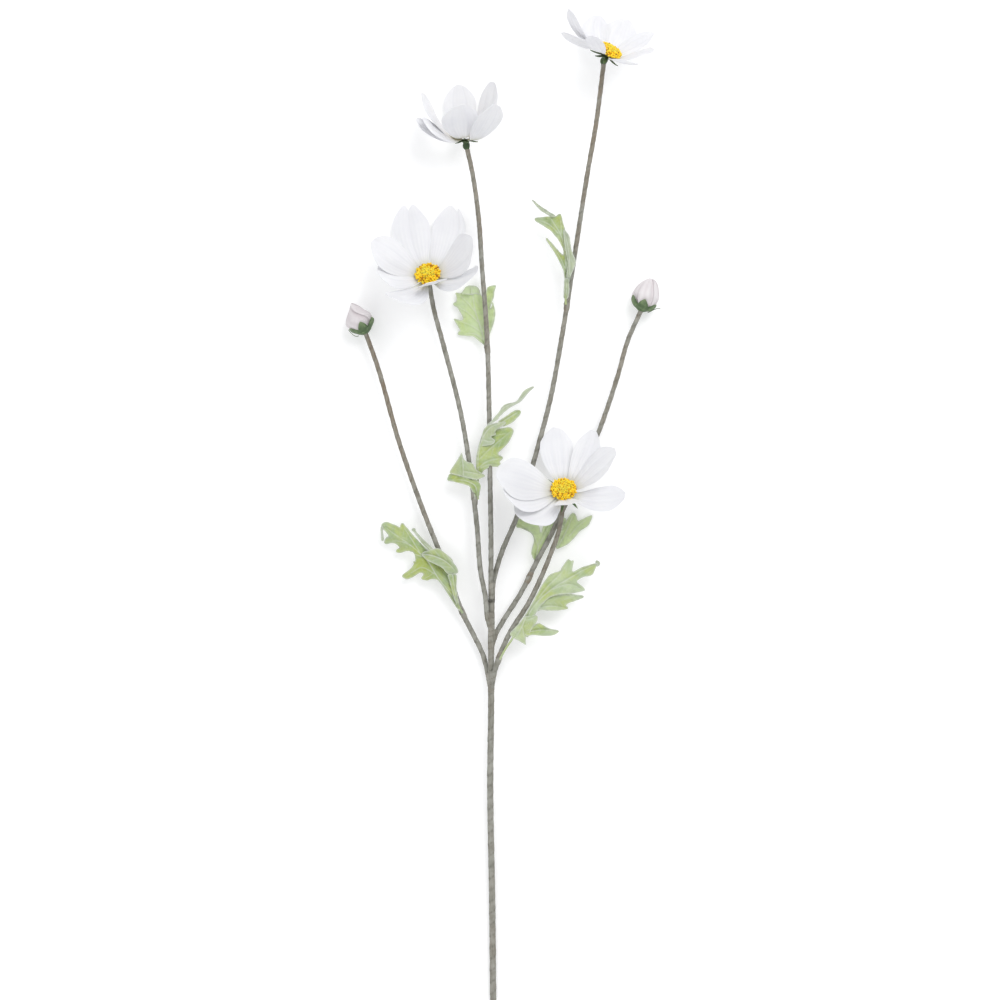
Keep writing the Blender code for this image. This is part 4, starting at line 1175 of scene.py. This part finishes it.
# ---------------------------------------------------------------- leaves
def rib_facts(x, y, route):
    """Distance of points from a rib, the side they are on, and place and level there."""
    start, end = route[:-1], route[1:]
    run = (end - start)[:, :2]
    reach = np.stack([x[:, None] - start[:, 0], y[:, None] - start[:, 1]], axis=-1)
    t = np.clip((reach * run).sum(-1) / (run ** 2).sum(-1), 0, 1)
    distance = np.linalg.norm(reach - t[..., None] * run, axis=-1)
    best = distance.argmin(1)
    row = np.arange(len(x))
    cross = run[best, 0] * reach[row, best, 1] - run[best, 1] * reach[row, best, 0]
    place = (best + t[row, best]) / len(start)
    level = np.interp(place, np.linspace(0, 1, len(route)), route[:, 2])
    return distance[row, best], np.sign(cross), place, level


def outline_facts(x, y, outline):
    """How deep inside a closed outline points are, and the outline's nearest points."""
    start, end = outline, np.roll(outline, -1, axis=0)
    run = end - start
    reach = np.stack([x[:, None] - start[:, 0], y[:, None] - start[:, 1]], axis=-1)
    t = np.clip((reach * run).sum(-1) / (run ** 2).sum(-1), 0, 1)
    off = reach - t[..., None] * run
    distance = np.linalg.norm(off, axis=-1)
    best = distance.argmin(1)
    row = np.arange(len(x))
    spans = (start[:, 1] > y[:, None]) != (end[:, 1] > y[:, None])
    height = np.where(run[:, 1] == 0, 1.0, run[:, 1])
    crossed = reach[..., 0] < run[:, 0] * reach[..., 1] / height
    inside = (spans & crossed).sum(1) % 2 == 1
    depth = np.where(inside, 1, -1) * distance[row, best]
    return depth, x - off[row, best, 0], y - off[row, best, 1]


def panel_sheet(outline):
    """A flat sheet of small cells that fills an outline: its points and its faces."""
    low, high = outline.min(0) - 1, outline.max(0) + 1
    columns, rows = ((high - low) / LEAF_CELL).astype(int) + 1
    gx, gy = np.meshgrid(low[0] + LEAF_CELL * np.arange(columns),
                         low[1] + LEAF_CELL * np.arange(rows))
    x, y = gx.ravel(), gy.ravel()
    depth, _, _ = outline_facts(x, y, outline)
    cells = grid_faces(rows, columns)[:, ::-1]
    cells = cells[depth[cells].mean(1) > 0]
    used, cells = np.unique(cells, return_inverse=True)
    cells = cells.reshape(-1, 4)
    x, y = x[used], y[used]
    edges = np.vstack([cells[:, [k, (k + 1) % 4]] for k in range(4)])
    known = {(a, b) for a, b in edges.tolist()}
    rim = np.unique([e for e in edges.tolist() if (e[1], e[0]) not in known])
    _, x[rim], y[rim] = outline_facts(x[rim], y[rim], outline)
    inner = np.ones(len(x), bool)
    inner[rim] = False
    for _ in range(3):
        total, sx, sy = np.zeros(len(x)), np.zeros(len(x)), np.zeros(len(x))
        np.add.at(total, edges[:, 0], 1)
        np.add.at(sx, edges[:, 0], x[edges[:, 1]])
        np.add.at(sy, edges[:, 0], y[edges[:, 1]])
        x[inner] = 0.5 * (x + sx / np.maximum(total, 1))[inner]
        y[inner] = 0.5 * (y + sy / np.maximum(total, 1))[inner]
    return x, y, cells


def rounded(outline):
    """An outline with each of its corners cut off."""
    ring = np.array(outline, float)
    after = np.roll(ring, -1, axis=0)
    length = np.linalg.norm(after - ring, axis=1)[:, None]
    cut = np.minimum(CORNER_SHARE, CORNER_REACH / length) * (after - ring)
    return np.stack([ring + cut, after - cut], axis=1).reshape(-1, 2)


def rib_relief(x, y, ribs, tilt):
    """A panel's level over its ribs, and how near a vein and in a crease points are."""
    found = [rib_facts(x, y, smooth_route(rib, 1.5)) for rib in ribs]
    weight = np.exp(-np.array([distance for distance, *_ in found]) / 1.4)
    weight /= weight.sum(0)
    fall = math.tan(math.radians(tilt))
    z, vein, crease = np.zeros(len(x)), np.zeros(len(x)), np.zeros(len(x))
    for number, ((distance, side, place, level), share) in enumerate(zip(found, weight)):
        strength = 0.7 if number else 1.0
        bowed = side * distance * fall - 0.03 * distance ** 2
        z += share * (level + bowed - 0.7 * strength * np.exp(-(distance / 0.9) ** 2))
        line = np.exp(-(distance / 0.36) ** 2)
        vein = np.maximum(vein, strength * (1 - 0.6 * place ** 3) * line)
        pulled = distance * 0.9 + place * 14.0
        nerve = np.exp(-((pulled % NERVE_PITCH - 0.5 * NERVE_PITCH) / 0.32) ** 2)
        nerve = nerve * np.clip(distance / 1.5, 0, 1)
        vein = np.maximum(vein, 0.4 * share * nerve)
        z -= 0.16 * share * nerve
        # painted shade beside one side of each rib, darkened in leaf_fabric()
        shadow = np.exp(-((distance - 0.95) / 0.5) ** 2) * (side > 0) * (1 - place ** 2)
        crease = np.maximum(crease, strength * share * shadow)
    return z, vein, crease


def leaf_panel(seed, outline, ribs, grey, tilt):
    """One panel of a leaf: sunk ribs, pale veins and a ruffled, frosted edge."""
    outline = rounded(outline)
    x, y, cells = panel_sheet(outline)
    depth = np.maximum(outline_facts(x, y, outline)[0], 0)
    z, vein, crease = rib_relief(x, y, ribs, tilt)
    near_edge = np.exp(-depth / 1.3)
    z += 0.4 * waves(seed, 5, 9.0)(x, y) * np.clip(depth / 2, 0.2, 1)
    z += 0.6 * waves(seed + "edge", 6, 5.0)(x, y) * near_edge
    z += 0.35 * np.exp(-depth / 0.7)
    sheet = np.stack([x, y, np.maximum(z, LEAF_LOWEST)], axis=-1)
    body, faces, sides = solid_sheet(sheet, cells, LEAF_THICKNESS)
    edge = np.exp(-depth / 0.55)
    return body, faces, dict(vein=np.tile(vein, 2), edge=np.tile(edge, 2),
                             crease=np.tile(crease, 2), under=np.maximum(sides, grey))


def make_leaf(label):
    """A lobed leaf on its wired stalk, as panels of folded cloth."""
    parts = [leaf_panel(f"{label}{number}", **panel)
             for number, panel in enumerate(LEAVES[label])]
    points = smooth_route(LEAF_STALKS[label], 1.0)
    radii = np.linspace(STALK_RADIUS, STALK_TIP_RADIUS, len(points))
    body, faces, _, _ = tube(points, radii, "stalk" + label, 0.0)
    plain = np.zeros(len(body))
    parts.append((body, faces, dict(vein=plain, edge=plain, crease=plain, under=plain + 0.6)))
    body, faces, facts = joined(parts)
    material = leaf_fabric(f"leaf_{label}_finish", LEAF_FROST[label], LEAF_PAINTED_LIGHT[label])
    add_piece("leaf_" + label + "_fabric", body, faces, material, "leaf_fabric",
              ["leaf_" + label], **facts)


# ---------------------------------------------------------------- the studio
def add_area(name, place, size, power):
    """A square area light that shines at the middle of the spray."""
    light = bpy.data.lights.new(name, "AREA")
    light.size = size
    light.energy = power
    lamp = bpy.data.objects.new(name, light)
    bpy.context.collection.objects.link(lamp)
    lamp.location = place
    lamp.rotation_euler = Vector(place).to_track_quat("Z", "Y").to_euler()


def make_floor():
    """The plain pale floor that the spray lies on."""
    mesh = bpy.data.meshes.new("floor")
    corners = [(x * FLOOR_REACH, y * FLOOR_REACH, 0)
               for x, y in ((-1, -1), (1, -1), (1, 1), (-1, 1))]
    mesh.from_pydata(corners, [], [(0, 1, 2, 3)])
    mesh.materials.append(floor_finish())
    floor = bpy.data.objects.new("floor", mesh)
    bpy.context.collection.objects.link(floor)
    floor.location.z = -FLOOR_DROP


def make_sky():
    """Even light from all round."""
    world = bpy.data.worlds.new("studio")
    bpy.context.scene.world = world
    world.use_nodes = True
    background = world.node_tree.nodes["Background"]
    background.inputs["Color"].default_value = (*SKY_COLOUR, 1.0)
    background.inputs["Strength"].default_value = SKY


def make_camera():
    """A camera high over the spray, looking straight down."""
    camera = bpy.data.objects.new("camera", bpy.data.cameras.new("camera"))
    bpy.context.collection.objects.link(camera)
    camera.data.lens = CAMERA_LENS
    camera.data.sensor_width = CAMERA_SENSOR
    camera.data.clip_end = 20.0
    camera.location = ((CAMERA_OVER[0] - SPRAY_MIDDLE[0]) * MM,
                       (CAMERA_OVER[1] - SPRAY_MIDDLE[1]) * MM, CAMERA_HEIGHT)
    bpy.context.scene.camera = camera
    bpy.context.scene.view_settings.view_transform = "Standard"


def make_studio():
    make_floor()
    add_area("key_light", **KEY)
    add_area("fill_light", **FILL)
    make_sky()
    make_camera()


# ---------------------------------------------------------------- the spray
make_stem()
for label in BRANCH_ROUTES:
    make_branch(label)
    make_joint(label)
    make_leaf(label)
    make_leaf_knot(label)
for label, head in HEADS.items():
    make_head(label, head)
for label, bud in BUDS.items():
    make_bud(label, bud)
make_studio()
